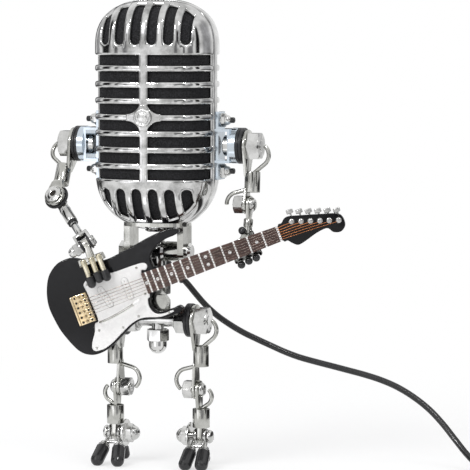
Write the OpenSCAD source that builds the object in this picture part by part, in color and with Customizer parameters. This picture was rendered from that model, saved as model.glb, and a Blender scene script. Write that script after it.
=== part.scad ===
// Robot desk lamp: a vintage microphone head on a body of nuts, bolts and
// bent-wire links, holding a small electric guitar. Units are millimetres.
// +X is the robot's left side, -Y is its front, +Z is up, z = 0 is the desk.

/* [Head] */
// Width of the microphone shell
head_w = 57.6; // [50:0.2:64]
// Depth of the microphone shell
head_d = 40.6; // [34:0.2:48]
// Height of the straight middle part of the shell
head_mid_h = 57.5; // [54:0.5:70]
// Height of the domed top
dome_h = 22.8; // [18:0.2:30]
// Height of the bowl under the straight part
bowl_h = 24.7; // [20:0.2:27]
// Wall of the shell
shell_t = 1.6; // [1.2:0.1:2.4]
// Width of the smooth band between the two shells
rim_w = 4.4; // [3:0.2:8]
// Wall of the mesh liner behind the slots
liner_t = 1; // [0.6:0.1:1.6]

/* [Grille] */
// Rows of long slots
slot_rows = 8; // [4:1:8]
// Distance from one row of slots to the next
slot_pitch = 7.62; // [6.4:0.02:7.8]
// Height of a long slot
slot_h = 4.9; // [3:0.1:5.4]
// Width of the bar between the left and right slots
centre_bar_w = 4.5; // [3:0.1:8]
// Upright slots over the dome and under the bowl
upright_slots = 6; // [2:2:6]
// Distance from one upright slot to the next
upright_pitch = 8.1; // [6.5:0.1:8.6]
// Width of an upright slot
upright_w = 4.5; // [3:0.1:5]
// Diameter of the round badge
badge_d = 8.8; // [6:0.1:10]

/* [Body heights] */
// Ankle bolt above the desk
ankle_z = 14.2; // [13:0.1:16]
// Ankle bolt to knee bolt
shin_len = 22.3; // [20:0.1:30]
// Knee bolt to hip bolt
thigh_len = 33; // [30:0.1:45]
// Hip bolt to neck bolt
torso_len = 32.5; // [30:0.1:45]
// Neck bolt to the underside of the head
neck_len = 14; // [12:0.1:20]
// Head underside to shoulder bolt
shoulder_rise = 36.4; // [30:0.1:50]
// Shoulder bolt behind the middle plane of the head
shoulder_back = 4; // [0:0.1:6]

/* [Hardware] */
// Diameter of the shoulder and hip bolts
big_bolt_d = 6; // [5:0.1:6.4]
// Across the flats of the shoulder and hip nuts
big_nut_af = 12; // [10:0.1:13]
// Diameter of the knee, elbow and ankle bolts
small_bolt_d = 4; // [3:0.1:4.4]
// Across the flats of the knee and ankle nuts
small_nut_af = 8; // [7:0.1:8.4]
// Outer diameter of the rubber washers
rubber_d = 16; // [14:0.2:18]
// Thickness of the rubber washers
rubber_t = 3; // [2:0.1:3.4]
// Diameter of the bent wire
wire_d = 2; // [1.4:0.1:2.2]
// Outer diameter of the thigh and upper arm barrels
barrel_d = 7.4; // [6.4:0.1:8]
// Length of the thigh and upper arm barrels
barrel_len = 9.8; // [8:0.1:11]
// Running gap between faces that turn past each other
gap = 0.15; // [0.1:0.05:0.25]

/* [Arms and feet] */
// Shoulder bolt to elbow bolt of the strumming arm
arm_r_len = 29.7; // [28:0.1:34]
// Forward swing of the strumming arm
arm_r_swing = 30; // [20:1:35]
// Shoulder bolt to elbow bolt of the fretting arm
arm_l_len = 27.6; // [26.5:0.1:30]
// Diameter of the fingers
finger_d = 2.8; // [2:0.1:3]
// Diameter of the black finger tips
fingertip_d = 4.2; // [3.6:0.1:4.4]
// Diameter of the black toe caps
cap_d = 6.4; // [5.6:0.1:6.6]
// Length of the black toe caps
cap_len = 11; // [8:0.1:12]

/* [Guitar] */
// Thickness of the guitar body
body_t = 6.4; // [5:0.1:7]
// Length of the fretboard
board_len = 68.4; // [60:0.1:76]
// Width of the fretboard at the body
board_w = 10.1; // [8:0.1:10.6]
// Width of the fretboard at the nut
nut_w = 7.3; // [6:0.1:8]
// Slope of the neck
guitar_roll = 20.8; // [18:0.1:24]
// Turn of the neck away from the front
guitar_yaw = 11; // [8:0.5:13]
// Frets on the fretboard
frets_n = 13; // [8:1:14]

/* [Cord] */
// Diameter of the cord
cord_d = 3; // [2.6:0.1:3.4]

/* [Hidden] */
$fn = 48;
eps = 0.01;

// Finishes
chrome = [0.82, 0.83, 0.84];
zinc = [0.70, 0.74, 0.80];
steel = [0.66, 0.66, 0.64];
rubber = [0.05, 0.05, 0.055];
black = [0.03, 0.03, 0.03];
gold = [0.85, 0.68, 0.35];
rosewood = [0.30, 0.13, 0.09];
ivory = [0.92, 0.91, 0.89];

// The middle of the model's box, seen from the neck bolt
box_shift = [-18.45, 5.18, 0];

// Heights that follow from the lengths
knee_z = ankle_z + shin_len;
hip_z = knee_z + thigh_len;
pivot_z = hip_z + torso_len;
head_z = pivot_z + neck_len;
mid_z = head_z + bowl_h;
dome_z = mid_z + head_mid_h;
shoulder_z = head_z + shoulder_rise;

// Shell form: superellipse sections, a squarish dome and a rounder bowl
section_power = 3;
dome_power = 2.55;
bowl_power = 2.25;
bowl_axis = bowl_h / 0.876;
shell_sides = 40;
dome_steps = [0.25, 0.46, 0.63, 0.77, 0.88, 0.95, 0.99];
bowl_steps = [0.876, 0.78, 0.66, 0.5, 0.3];
rim_proud = 0.45;
liner_gap = 0.35;
first_row_z = dome_z - 5.6;
bar_top_z = first_row_z - 3 * slot_pitch;
badge_z = first_row_z - 3.5 * slot_pitch;
upright_top_z = dome_z + 1.8;
upright_low_z = mid_z - 8.6;
upright_rim = 9.5;
low_rim = 12;
slot_rim = rim_w / 2 + 0.4;
lamp_post_h = 40;
lamp_post_d = 8;
lamp_board_d = 22;

// Side brackets and shoulders, measured outward from the middle plane
flange_t = 1.4;
hat_t = 1.2;
hat_h = 16;
hat_depth = 13;
collar_t = 3;
washer_in = 39.6 - 28.8 + head_w / 2;
shoulder_x = washer_in + rubber_t + 0.1;
bracket_nut_rise = 12;
m3_af = 5.5;
stud_tip = 3.6;

// Neck
cheek_t = 3;
cheek_in = 11.9;
cheek_r = 6.2;
neck_bolt_d = 5;
knuckle_r = 5.2;
knuckle_lo = -8.6;
knuckle_hi = 4.4;
column_d = 8;
column_top = pivot_z - knuckle_r - 1.6;
collar_d = 10.6;
collar_h = 2.2;

// Hips, measured outward from the middle plane
pelvis_d = 7;
pelvis_half = 8.4;
ring_t = 1.3;
coupling_t = 5.3;
hip_washer_in = pelvis_half + ring_t + coupling_t;
hip_x = hip_washer_in + rubber_t;

// Wire clevis: eye plate, nut and barrel, measured outward from the washer
eye_t = 1.6;
eye_r = 7.6;
big_nut_t = 5.7;
barrel_off = barrel_d / 2;
clevis_drop = 12.1;
clevis_bow = [5.9, -4.3];
clevis_bow_r = 5.5;
bolt_play = 0.08;
mouth_depth = 1.2;
mouth_d = barrel_d - 2;

// Knee and elbow stack, measured outward from the barrel axis
link_t = 1.5;
link_r = 4.6;
outer_link = -3.4;
inner_link = outer_link + link_t + gap;
small_nut_t = 4.7;
head_t = 2.2;
knee_bow = [-6.9, 4.2];
shin_bow = [0.9, -3.2];
shin_bow_r = 4.4;
shin_d = 8.2;
shin_drop = 9;
ankle_lift = 4.3;

// Ankle and foot
ring_r = 2.95;
ring_wire = 1.7;
foot_half = 2.35;
tab_half = 1.2;
ankle_washer_d = 13;
ankle_washer_t = 1.1;
toe_reach = 13.6;
heel_reach = 9;
heel_d = 5.2;
heel_len = 6.5;
sole_flat = 0.4;
toe_rod_d = 1.9;
toe_root_out = 0.55;
toe_splay = 0.75;
tab_r = 3.15;
toe_x = [[-6, 4.2], [-3.4, 4.6]];

// Guitar frame: u along the neck, v up across it, n out of its face
guitar_at = [-0.6, -16, hip_z + 18.5];
gu = [cos(guitar_roll) * cos(guitar_yaw), cos(guitar_roll) * sin(guitar_yaw), sin(guitar_roll)];
gv = [-sin(guitar_roll) * cos(guitar_yaw), -sin(guitar_roll) * sin(guitar_yaw), cos(guitar_roll)];
gn = cross(gu, gv);
guard_t = 0.8;
neck_back = 2.6;
neck_front = 0.9;
board_t = 1.2;
board_top = neck_front + board_t;
fret_proud = 0.3;
string_d = 0.4;
string_n = board_top + fret_proud + string_d / 2 + 0.1;
heel_u = 7;
pocket_play = 0.1;
nut_u = board_len;
bridge_u = [-36.4, -28];
bridge_v = [-8.4, 6];
body_points = [
    [-47, -1.1], [-47.3, 6], [-45.6, 12.8], [-42, 19.2], [-36.6, 23], [-31.5, 23.6],
    [-27.6, 22.5], [-21, 18.6], [-14.3, 16.9], [-6, 17.6], [1.3, 18.6], [10, 19.9],
    [17.5, 20.1], [22.6, 18.9], [23.7, 17.2], [21, 16.4], [16, 16.1], [10.3, 14.2],
    [6.6, 10.7], [6.2, 6.4], [7.6, 4.4], [7.6, -4.2], [3, -5.2], [-0.3, -7.4],
    [-0.9, -11.4], [1.8, -14.8], [7.2, -15.6], [11.2, -15.4], [12.2, -17.2],
    [8.4, -18.6], [1.5, -18.3], [-6.5, -15.8], [-12, -16.3], [-18, -18.9],
    [-24.6, -22], [-31, -23.6], [-36.7, -22.8], [-41.5, -18.7], [-45.5, -9]
];
guard_points = [
    [-27.6, 6.6], [-27.8, 9.2], [-26.3, 10.8], [-22.6, 11.8], [-17, 11.1], [-12.4, 10.1],
    [-2, 9.9], [2.6, 9.4], [4, 7.6], [2.6, 5.9], [0.2, 5.6], [0.2, -5.6], [-1.4, -7.4],
    [-2, -11], [-0.6, -14.6], [3, -16.2], [7.4, -16.2], [7.8, -17.1], [1.2, -17.2],
    [-6.3, -14.9], [-12, -15.3], [-18, -17.8], [-24.6, -20.9], [-29, -22.2],
    [-33.2, -22], [-34.6, -20.2], [-33.4, -17.2], [-30.8, -13.4], [-29.2, -9.6],
    [-27.2, -8.8], [-27.2, -2]
];
head_points = [
    [0.02, 3.6], [2, 4.3], [5.1, 6.2], [11.6, 4.6], [19.6, 2.2], [27.7, -0.4],
    [29.9, -3], [29.6, -7], [26.8, -9], [23.4, -8], [21.2, -5.3], [15.6, -5.8],
    [10.6, -7.2], [6.1, -8], [3.6, -6.2], [2, -4.4], [0.02, -3.7]
];
arm_points = [
    [-26.4, -9.7, 0.9], [-26.4, -9.7, 1.9], [-26.1, -9.7, 2.9], [-25, -9.65, 3.5],
    [-22, -9.5, 3.7], [-17, -8.9, 3.75], [-12, -8, 3.75], [-8, -7.2, 3.75], [-5, -6.4, 3.75]
];
tuner_first = 6.8;
tuner_step = 4.18;
tuner_edge_v = 2.7;
string_spread = 9.4;

// Strumming hand: wrist, palm and finger places on the guitar
wrist_uvn = [-18.9, 27, 4.6];
palm_v = [17.6, 21.2];
palm_n = [2.4, 6.6];
palm_u = [-25.6, -12.6];
finger_n = 4.5;
finger_u = [-23, -18.9, -15.2];
tip_v = [8.7, 9.75, 9.3];
fork_tab_t = 3.2;
fork_washer_t = 0.8;
fork_plate_t = 1.2;
wrist_bolt_d = 2.4;
wrist_eye_r = 3;

// Fretting hand: palm behind the neck, thumb above it, three fingers below
grip_u = 49.6;
grip_gap = 0.9;
thumb_lift = 1.4;
finger_drop = 1;
palm_t = 2.4;
ball_d = 3.7;
ball_n = -1.6;
thumb_u = 2.1;
grip_fingers = [[-3.9, 0.7], [0, 0.2], [3.8, 0]];
forearm_d = 4.4;

// Cord: straight out of the gland, down beside the hip, then to the desk
cord_coil_at = [180, 34, 0];
cord_points = [
    [1.9, 7.9, 94.4], [4.4, 11, 91.4], [6.9, 14.1, 88.4], [9.4, 17.1, 84.6], [12.4, 20, 79.8],
    [16.2, 23, 74.4], [21, 26, 69.2], [26.6, 28.4, 64.8], [32.6, 30.4, 61], [39, 32, 57.8],
    [46, 33.4, 54.6], [53, 34.4, 51.6], [60, 35.2, 49.2], [68, 36, 47.2], [76, 36.6, 45.4],
    [84, 37, 43.6], [92, 37.2, 41.8], [100, 37.2, 39.6], [108, 37, 36.6], [116, 36.4, 32.4],
    [124, 35.2, 27], [131, 33.4, 20.8], [138, 30.4, 13.8], [144.5, 26.6, 7.8], [151, 22, 3.6],
    [158, 17.8, 1.8], [165, 15, 1.6], [172.5, 14, 1.6], [180, 14.2, 1.6]
];
coil_turn_r = 16.8;
coil_out_r = coil_turn_r + 1.5 * cord_d;
coil_in_r = coil_turn_r - 1.5 * cord_d;
coil_h = 4.1 * cord_d;
relief_len = 12;
relief_d = 5.4;

// Unit vector along v
function unit(v) = v / norm(v);

// Matrix that puts a local frame with these axes at p
function frame(p, x, y, z) = [
    [x[0], y[0], z[0], p[0]], [x[1], y[1], z[1], p[1]], [x[2], y[2], z[2], p[2]], [0, 0, 0, 1]
];

// A point given on the guitar, in the lamp's frame
function on_guitar(p) = guitar_at + p[0] * gu + p[1] * gv + p[2] * gn;

// Point on a closed smooth curve through p, at share t of the stretch after point i
function curve_point(p, i, t) =
    let (n = len(p), a = p[(i + n - 1) % n], b = p[i], c = p[(i + 1) % n], d = p[(i + 2) % n])
    0.5 * (2 * b + (c - a) * t + (2 * a - 5 * b + 4 * c - d) * t * t
        + (3 * b - a - 3 * c + d) * t * t * t);

// Closed smooth outline through p, with k points for each stretch
function smooth(p, k) = [for (i = [0 : len(p) - 1], j = [0 : k - 1]) curve_point(p, i, j / k)];

// Outline p moved inward by d; p runs clockwise
function inset(p, d) = [
    for (i = [0 : len(p) - 1])
        let (n = len(p), t = unit(p[(i + 1) % n] - p[(i + n - 1) % n])) p[i] + d * [t[1], -t[0]]
];

// Signed power, for superellipses
function spow(x, e) = sign(x) * pow(abs(x), e);

// One section of the head at height z, scaled by f and grown by g
function head_ring(z, f, g) = [
    for (i = [0 : shell_sides - 1])
        let (a = 360 * i / shell_sides)
        [(head_w / 2 + g) * f * spow(cos(a), 2 / section_power),
            (head_d / 2 + g) * f * spow(sin(a), 2 / section_power), z]
];

// How far the section has closed at share s of a dome with this power
function closing(s, power) = pow(1 - pow(s, power), 1 / power);

// Closed solid through rings of points, low to high
module loft(rings) {
    n = len(rings[0]);
    m = len(rings);
    side = [
        for (j = [0 : m - 2], i = [0 : n - 1], half = [0, 1])
            half == 0 ? [j * n + i, (j + 1) * n + i, (j + 1) * n + (i + 1) % n]
                : [j * n + i, (j + 1) * n + (i + 1) % n, j * n + (i + 1) % n]
    ];
    low = [[for (i = [0 : n - 1]) i]];
    high = [[for (i = [n - 1 : -1 : 0]) (m - 1) * n + i]];
    polyhedron([for (r = rings) each r], concat(side, low, high));
}

// The microphone's outer form, grown by g and open below when deep is more than 0
module head_form(g, deep) {
    loft(concat(
        deep > 0 ? [head_ring(head_z - deep, closing(bowl_steps[0], bowl_power), g)] : [],
        [for (s = bowl_steps) head_ring(mid_z - bowl_axis * s, closing(s, bowl_power), g)],
        [head_ring(mid_z, 1, g), head_ring((mid_z + dome_z) / 2, 1, g), head_ring(dome_z, 1, g)],
        [for (s = dome_steps) head_ring(dome_z + (dome_h + g) * s, closing(s, dome_power), g)]
    ));
}

// Slot with round ends between two heights, cut along Y
module upright_slot(x, low, high, front) {
    hull() {
        for (z = [low, high])
            translate([x, front, z]) rotate([-90, 0, 0])
                cylinder(d = upright_w, h = head_d, $fn = 20);
    }
}

// Four-pointed star round the badge, as an outline
module star_outline() {
    tip_w = 9;
    tip_h = 6.8;
    hollow_r = 7.2;
    difference() {
        square([2 * tip_w, 2 * tip_h], center = true);
        for (sx = [-1, 1], sz = [-1, 1])
            translate([sx * (tip_w + 0.4), sz * (tip_h + 1)])
                scale([1.06, 0.86]) circle(r = hollow_r, $fn = 40);
    }
}

// Every slot of the front half; keep is false where there is no star
module grille_slots(keep) {
    reach = head_w;
    back = -slot_rim;
    difference() {
        for (row = [0 : slot_rows - 1], side = [-1, 1])
            translate([side > 0 ? centre_bar_w / 2 : -centre_bar_w / 2 - reach,
                    back - head_d, first_row_z - row * slot_pitch - slot_h / 2])
                cube([reach, head_d, slot_h]);
        if (keep)
            translate([0, 0, badge_z]) rotate([90, 0, 0])
                linear_extrude(head_d) star_outline();
    }
    for (i = [0 : upright_slots - 1]) {
        x = (i - (upright_slots - 1) / 2) * upright_pitch;
        upright_slot(x, upright_top_z + upright_w / 2, dome_z + dome_h + 4, -upright_rim - head_d);
        upright_slot(x, head_z - 6, upright_low_z - upright_w / 2, -low_rim - head_d);
    }
}

// One slotted half of the casing, open at the back and below
module half_shell(keep) {
    difference() {
        intersection() {
            head_form(0, 0);
            translate([-head_w, -head_d - rim_w / 2, head_z - 1])
                cube([2 * head_w, head_d, dome_h + head_mid_h + bowl_h + 2]);
        }
        head_form(-shell_t, 1);
        grille_slots(keep);
    }
}

module front_shell() {
    color(chrome) half_shell(true);
}

module rear_shell() {
    color(chrome) mirror([0, 1, 0]) half_shell(false);
}

module rim_band() {
    color(chrome) intersection() {
        difference() {
            head_form(rim_proud, 0);
            head_form(-shell_t, 1);
        }
        translate([-head_w, -rim_w / 2, head_z - 1])
            cube([2 * head_w, rim_w, dome_h + head_mid_h + bowl_h + 4]);
    }
}

module grille_liner() {
    color(black) difference() {
        head_form(-shell_t - liner_gap, 0);
        head_form(-shell_t - liner_gap - liner_t, 1);
    }
}

module centre_badge() {
    face = -head_d / 2;
    color(steel) translate([0, face, badge_z]) rotate([90, 0, 0])
        rotate_extrude() polygon([
            [0, 0.02], [badge_d / 2, 0.02], [badge_d / 2, 1.1], [badge_d / 2 - 0.5, 1.6],
            [badge_d / 2 - 1.2, 1.6], [badge_d / 2 - 1.5, 1.2], [badge_d / 2 - 2.2, 1.2],
            [badge_d / 2 - 2.5, 1.5], [0, 1.5]
        ]);
}

// Lamp board on a post from the base plate
module led_lamp() {
    color(ivory) translate([0, 0, head_z]) {
        cylinder(d = lamp_post_d, h = lamp_post_h);
        translate([0, 0, lamp_post_h]) cylinder(d = lamp_board_d, h = 1.6);
        translate([0, 0, lamp_post_h + 1.6]) intersection() {
            translate([0, 0, -3]) sphere(r = lamp_board_d / 2 - 2);
            cylinder(d = lamp_board_d - 4, h = 8);
        }
    }
}

// Plate that closes the bowl, with the two neck cheeks and a round collar
module head_base() {
    plate_t = 1.8;
    collar_r = 5.4;
    cheek_h = head_z - plate_t - pivot_z;
    color(chrome) difference() {
        union() {
            translate([0, 0, head_z - plate_t]) linear_extrude(plate_t)
                polygon([for (p = head_ring(0, closing(bowl_steps[0], bowl_power), 0)) [p[0], p[1]]]);
            translate([0, 0, head_z - plate_t - 1.2]) cylinder(r = collar_r, h = 1.3);
            for (side = [-1, 1])
                translate([side > 0 ? cheek_in : -cheek_in - cheek_t, 0, pivot_z])
                    rotate([0, 90, 0]) hull() {
                        cylinder(r = cheek_r, h = cheek_t, $fn = 32);
                        translate([-cheek_h - 0.5, -cheek_r, 0]) cube([0.5, 2 * cheek_r, cheek_t]);
                    }
        }
        translate([-head_w / 2, 0, pivot_z]) rotate([0, 90, 0])
            cylinder(d = neck_bolt_d + 0.04, h = head_w);
    }
}

// Hat-shaped side bracket with its round collar; side is +1 or -1
module bracket(side) {
    x0 = head_w / 2 + rim_proud + 0.03;
    hat_end = washer_in - collar_t;
    hat_len = hat_end - x0;
    color(zinc) mirror([side > 0 ? 0 : 1, 0, 0]) translate([0, 0, shoulder_z])
        difference() {
            union() {
                // flange against the shell, with a lug for each small nut
                translate([x0, shoulder_back - 5, -bracket_nut_rise - 4])
                    cube([flange_t, 10, 2 * bracket_nut_rise + 8]);
                // webs and end plate of the hat
                for (z = [-hat_h / 2, hat_h / 2 - hat_t])
                    translate([x0, shoulder_back - hat_depth / 2, z])
                        cube([hat_len, hat_depth, hat_t]);
                translate([hat_end - hat_t, shoulder_back - hat_depth / 2, -hat_h / 2])
                    cube([hat_t, hat_depth, hat_h]);
                // round collar
                translate([hat_end, shoulder_back, 0]) rotate([0, 90, 0])
                    cylinder(d = hat_h + 1, h = collar_t);
            }
            translate([x0 + flange_t, shoulder_back, 0]) rotate([0, 90, 0])
                cylinder(d = big_bolt_d + 0.04, h = head_w);
            for (z = [-bracket_nut_rise, bracket_nut_rise])
                translate([x0 - 1, shoulder_back, z]) rotate([0, 90, 0])
                    cylinder(d = 3.1, h = 4);
        }
}

// Acorn nut standing on z = 0, bored for its stud
module acorn_nut(af, hex_h, dome_r, dome_h, bore_d) {
    difference() {
        union() {
            cylinder(d = af / cos(30), h = hex_h, $fn = 6);
            cylinder(r = dome_r, h = dome_h - dome_r * 0.6);
            translate([0, 0, dome_h - dome_r * 0.6]) intersection() {
                scale([1, 1, 1]) sphere(r = dome_r);
                translate([0, 0, -eps]) cylinder(r1 = dome_r, r2 = dome_r * 0.7, h = dome_r * 0.6);
            }
        }
        if (bore_d > 0) translate([0, 0, -1]) cylinder(d = bore_d, h = dome_h - dome_r * 0.5 + 1);
    }
}

module bracket_nuts() {
    x0 = head_w / 2 + rim_proud + 0.03 + flange_t;
    color(chrome) for (side = [0, 1], z = [-bracket_nut_rise, bracket_nut_rise])
        mirror([side, 0, 0]) translate([x0 + 0.02, shoulder_back, shoulder_z + z])
            rotate([0, 90, 0]) {
                acorn_nut(m3_af, 2, 2.4, 4.6, 0);
                translate([0, 0, 3]) cylinder(d = 2.7, h = stud_tip);
            }
}

// Bolt with a hex nut near its end, along +X: x is where the washer ends
module big_bolt(x, root_x) {
    nut_x = x + gap + eye_t + gap;
    translate([root_x, 0, 0]) rotate([0, 90, 0])
        cylinder(d = big_bolt_d, h = nut_x + big_nut_t + 0.3 - root_x);
    translate([nut_x, 0, 0]) rotate([0, 90, 0]) rotate([0, 0, 30]) intersection() {
        cylinder(d = big_nut_af / cos(30), h = big_nut_t, $fn = 6);
        cylinder(d1 = big_nut_af + 3.6, d2 = big_nut_af + 0.6, h = big_nut_t);
    }
}

module shoulder_bolts() {
    color(chrome) for (side = [0, 1])
        mirror([side, 0, 0]) translate([0, shoulder_back, shoulder_z]) {
            big_bolt(shoulder_x, washer_in - collar_t - hat_t - 3);
            translate([washer_in - collar_t - hat_t - 3.02, 0, 0]) rotate([0, 90, 0])
                cylinder(d = 10, h = 3);
        }
}

module rubber_washer(od, id, t) {
    difference() {
        cylinder(d = od, h = t);
        translate([0, 0, -1]) cylinder(d = id, h = t + 2);
    }
}

module shoulder_washers() {
    color(rubber) for (side = [0, 1])
        mirror([side, 0, 0]) translate([washer_in + 0.05, shoulder_back, shoulder_z])
            rotate([0, 90, 0]) rubber_washer(rubber_d + 1, big_bolt_d + 0.1, rubber_t);
}

module neck_bolt() {
    end = cheek_in + cheek_t;
    color(chrome) translate([0, 0, pivot_z]) rotate([0, 90, 0]) {
        translate([0, 0, -end - 3.4]) cylinder(d = neck_bolt_d, h = 2 * end + 3.4 + 1);
        translate([0, 0, end + 0.02]) rotate_extrude() polygon([
            [0, 0], [4.2, 0], [4.2, 1.2], [3.2, 2.4], [0, 2.4]
        ]);
        translate([0, 0, -end - 3.42]) cylinder(d = 8 / cos(30), h = 3.4, $fn = 6);
    }
}

module neck_spacer() {
    color(steel) translate([knuckle_hi + 0.1, 0, pivot_z]) rotate([0, 90, 0])
        rubber_washer(9.4, neck_bolt_d + 0.1, cheek_in - knuckle_hi - 0.2);
}

module torso_knuckle() {
    color(chrome) translate([0, 0, pivot_z]) difference() {
        union() {
            translate([knuckle_lo, 0, 0]) rotate([0, 90, 0]) rotate_extrude() polygon([
                [0, 0], [3.4, 0], [4.6, 0.8], [knuckle_r, 2], [knuckle_r, 5.4], [4.6, 5.8],
                [4.6, 6.4], [knuckle_r, 6.8], [knuckle_r, 8.8], [4.5, 9.2], [4.5, 9.8],
                [knuckle_r, 10.2], [knuckle_r, 11.6], [4.2, knuckle_hi - knuckle_lo],
                [0, knuckle_hi - knuckle_lo]
            ]);
            translate([0, 0, -knuckle_r - 1.6]) cylinder(d = column_d, h = knuckle_r + 1.6);
        }
        translate([-head_w, 0, 0]) rotate([0, 90, 0])
            cylinder(d = neck_bolt_d + 2 * bolt_play, h = 2 * head_w);
    }
}

// Turned column with a hex standoff at its foot, threaded down through the pelvis
module torso_column() {
    low = hip_z + pelvis_d / 2 - 0.9;
    high = column_top;
    color(steel) {
        translate([0, 0, low]) difference() {
            union() {
                cylinder(d = 11 / cos(30), h = 7, $fn = 6);
                cylinder(d = column_d, h = high - low);
                translate([0, 0, high - low - collar_h]) cylinder(d = collar_d, h = collar_h);
            }
            translate([-10, 0, -pelvis_d / 2 + 0.9 - 0.02]) rotate([0, 90, 0])
                cylinder(d = pelvis_d + 0.04, h = 20);
        }
    }
}

module pelvis_tube() {
    color(chrome) translate([0, 0, hip_z]) difference() {
        union() {
            translate([-pelvis_half, 0, 0]) rotate([0, 90, 0])
                cylinder(d = pelvis_d, h = 2 * pelvis_half);
            translate([0, 0, -pelvis_d / 2 - 1.4]) cylinder(d = 6, h = pelvis_d / 2 + 1.4);
        }
        for (side = [0, 1])
            mirror([side, 0, 0]) translate([pelvis_half - 4, 0, 0]) rotate([0, 90, 0])
                cylinder(d = big_bolt_d - 1, h = 5);
    }
}

module hip_couplings() {
    color(zinc) for (side = [0, 1])
        mirror([side, 0, 0]) translate([pelvis_half + 0.02, 0, hip_z]) rotate([0, 90, 0])
            difference() {
                union() {
                    cylinder(d = pelvis_d + 2.4, h = ring_t);
                    translate([0, 0, ring_t]) rotate([0, 0, 30]) intersection() {
                        cylinder(d = big_nut_af / cos(30), h = coupling_t - 0.04, $fn = 6);
                        cylinder(d1 = big_nut_af + 0.8, d2 = big_nut_af + 4, h = coupling_t);
                    }
                }
                translate([0, 0, -1]) cylinder(d = big_bolt_d + 0.04, h = 20);
            }
}

module hip_washers() {
    color(rubber) for (side = [0, 1])
        mirror([side, 0, 0]) translate([hip_washer_in + 0.02, 0, hip_z]) rotate([0, 90, 0])
            rubber_washer(rubber_d, big_bolt_d + 0.1, rubber_t - 0.02);
}

module hip_bolts() {
    color(chrome) for (side = [0, 1])
        mirror([side, 0, 0]) translate([0, 0, hip_z]) big_bolt(hip_x, pelvis_half + 0.04);
}

module crotch_nut() {
    color(chrome) translate([0, 0, hip_z - pelvis_d / 2 - 1.42]) rotate([180, 0, 0])
        acorn_nut(9.6, 5.5, 4.3, 11.6, 0);
}

// Open wire bow in the XZ plane, with a straight tail from its first end
module wire_bow(c, r, a0, a1, tail) {
    start = [c[0] + r * cos(a0), 0, c[1] + r * sin(a0)];
    lap = 0.3;
    translate([c[0], 0, c[1]]) rotate([90, 0, 0]) rotate([0, 0, a0])
        rotate_extrude(angle = a1 - a0) translate([r, 0]) circle(d = wire_d, $fn = 24);
    translate(start) rotate([0, atan2(sin(a0), -cos(a0)), 0]) translate([0, 0, -lap])
        cylinder(d = wire_d + 0.1, h = tail + lap);
}

// Barrel with a recessed mouth, from z = 0 down
module barrel(d, len) {
    translate([0, 0, -len]) difference() {
        cylinder(d = d, h = len);
        translate([0, 0, len - mouth_depth]) cylinder(d = d - 2, h = 2);
        translate([0, 0, -2 + mouth_depth]) cylinder(d = d - 2, h = 2);
    }
}

// Upper link: eye on a big bolt at the origin, wire bow and barrel below it
module clevis() {
    off = barrel_off;
    difference() {
        union() {
            hull() {
                translate([gap, 0, 0]) rotate([0, 90, 0]) cylinder(r = eye_r, h = eye_t, $fn = 32);
                translate([gap, -2.2, -clevis_drop - 2.4]) cube([eye_t, 4.4, 1]);
            }
            translate([off, 0, -clevis_drop]) barrel(barrel_d, barrel_len);
            wire_bow(clevis_bow, clevis_bow_r, -50, 52, 7.9);
        }
        translate([-1, 0, 0]) rotate([0, 90, 0])
            cylinder(d = big_bolt_d + 2 * bolt_play, h = gap + eye_t + 1.2);
    }
}

// Lower end of a link: plate with an eye at z = 0, drop below the barrel, wire bow inward
module link_end(drop, lift) {
    off = barrel_off;
    bow = knee_bow + [0, drop - 11 + lift];
    difference() {
        hull() {
            translate([off + outer_link, 0, 0]) rotate([0, 90, 0])
                cylinder(r = link_r, h = link_t, $fn = 32);
            translate([off + outer_link, -2.4, drop + 1]) cube([link_t, 4.8, 1]);
        }
        translate([off + outer_link - 1, 0, 0]) rotate([0, 90, 0])
            cylinder(d = small_bolt_d + 2 * bolt_play, h = link_t + 2);
    }
    translate([off, 0, 0]) wire_bow(bow, clevis_bow_r, 105, 180 + asin(bow[1] / clevis_bow_r), 9.6);
}

// Bolt, nut and head of a knee or elbow, along X at the origin
module small_bolt() {
    off = barrel_off;
    nut_x = off + outer_link - gap - small_nut_t;
    head_x = off + inner_link + link_t + 0.02;
    translate([nut_x - 0.8, 0, 0]) rotate([0, 90, 0])
        cylinder(d = small_bolt_d, h = head_x - nut_x + 1.4);
    translate([nut_x, 0, 0]) rotate([0, 90, 0]) rotate([0, 0, 30])
        cylinder(d = small_nut_af / cos(30), h = small_nut_t, $fn = 6);
    translate([head_x, 0, 0]) rotate([0, 90, 0]) rotate_extrude() polygon([
        [0, 0], [3.4, 0], [3.4, 0.8], [2.2, head_t], [0, head_t]
    ]);
}

// Plate with an eye on the small bolt, above a lower barrel
module link_top(drop) {
    off = barrel_off;
    difference() {
        hull() {
            translate([off + inner_link, 0, 0]) rotate([0, 90, 0])
                cylinder(r = link_r - 0.2, h = link_t, $fn = 32);
            translate([off + inner_link, -2.4, -drop - 2]) cube([link_t, 4.8, 1]);
        }
        translate([off + inner_link - 1, 0, 0]) rotate([0, 90, 0])
            cylinder(d = small_bolt_d + 0.04, h = link_t + 2);
    }
}

// Places a child on one hip; side is 0 for the robot's right leg, 1 for its left
module at_leg(side, z) {
    mirror([1 - side, 0, 0]) translate([hip_x, 0, z]) children();
}

module thigh(side) {
    color(steel) at_leg(side, hip_z) {
        clevis();
        translate([0, 0, -thigh_len]) link_end(thigh_len - clevis_drop - barrel_len, 0);
    }
}

module knee_bolt(side) {
    color(chrome) at_leg(side, knee_z) small_bolt();
}

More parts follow.
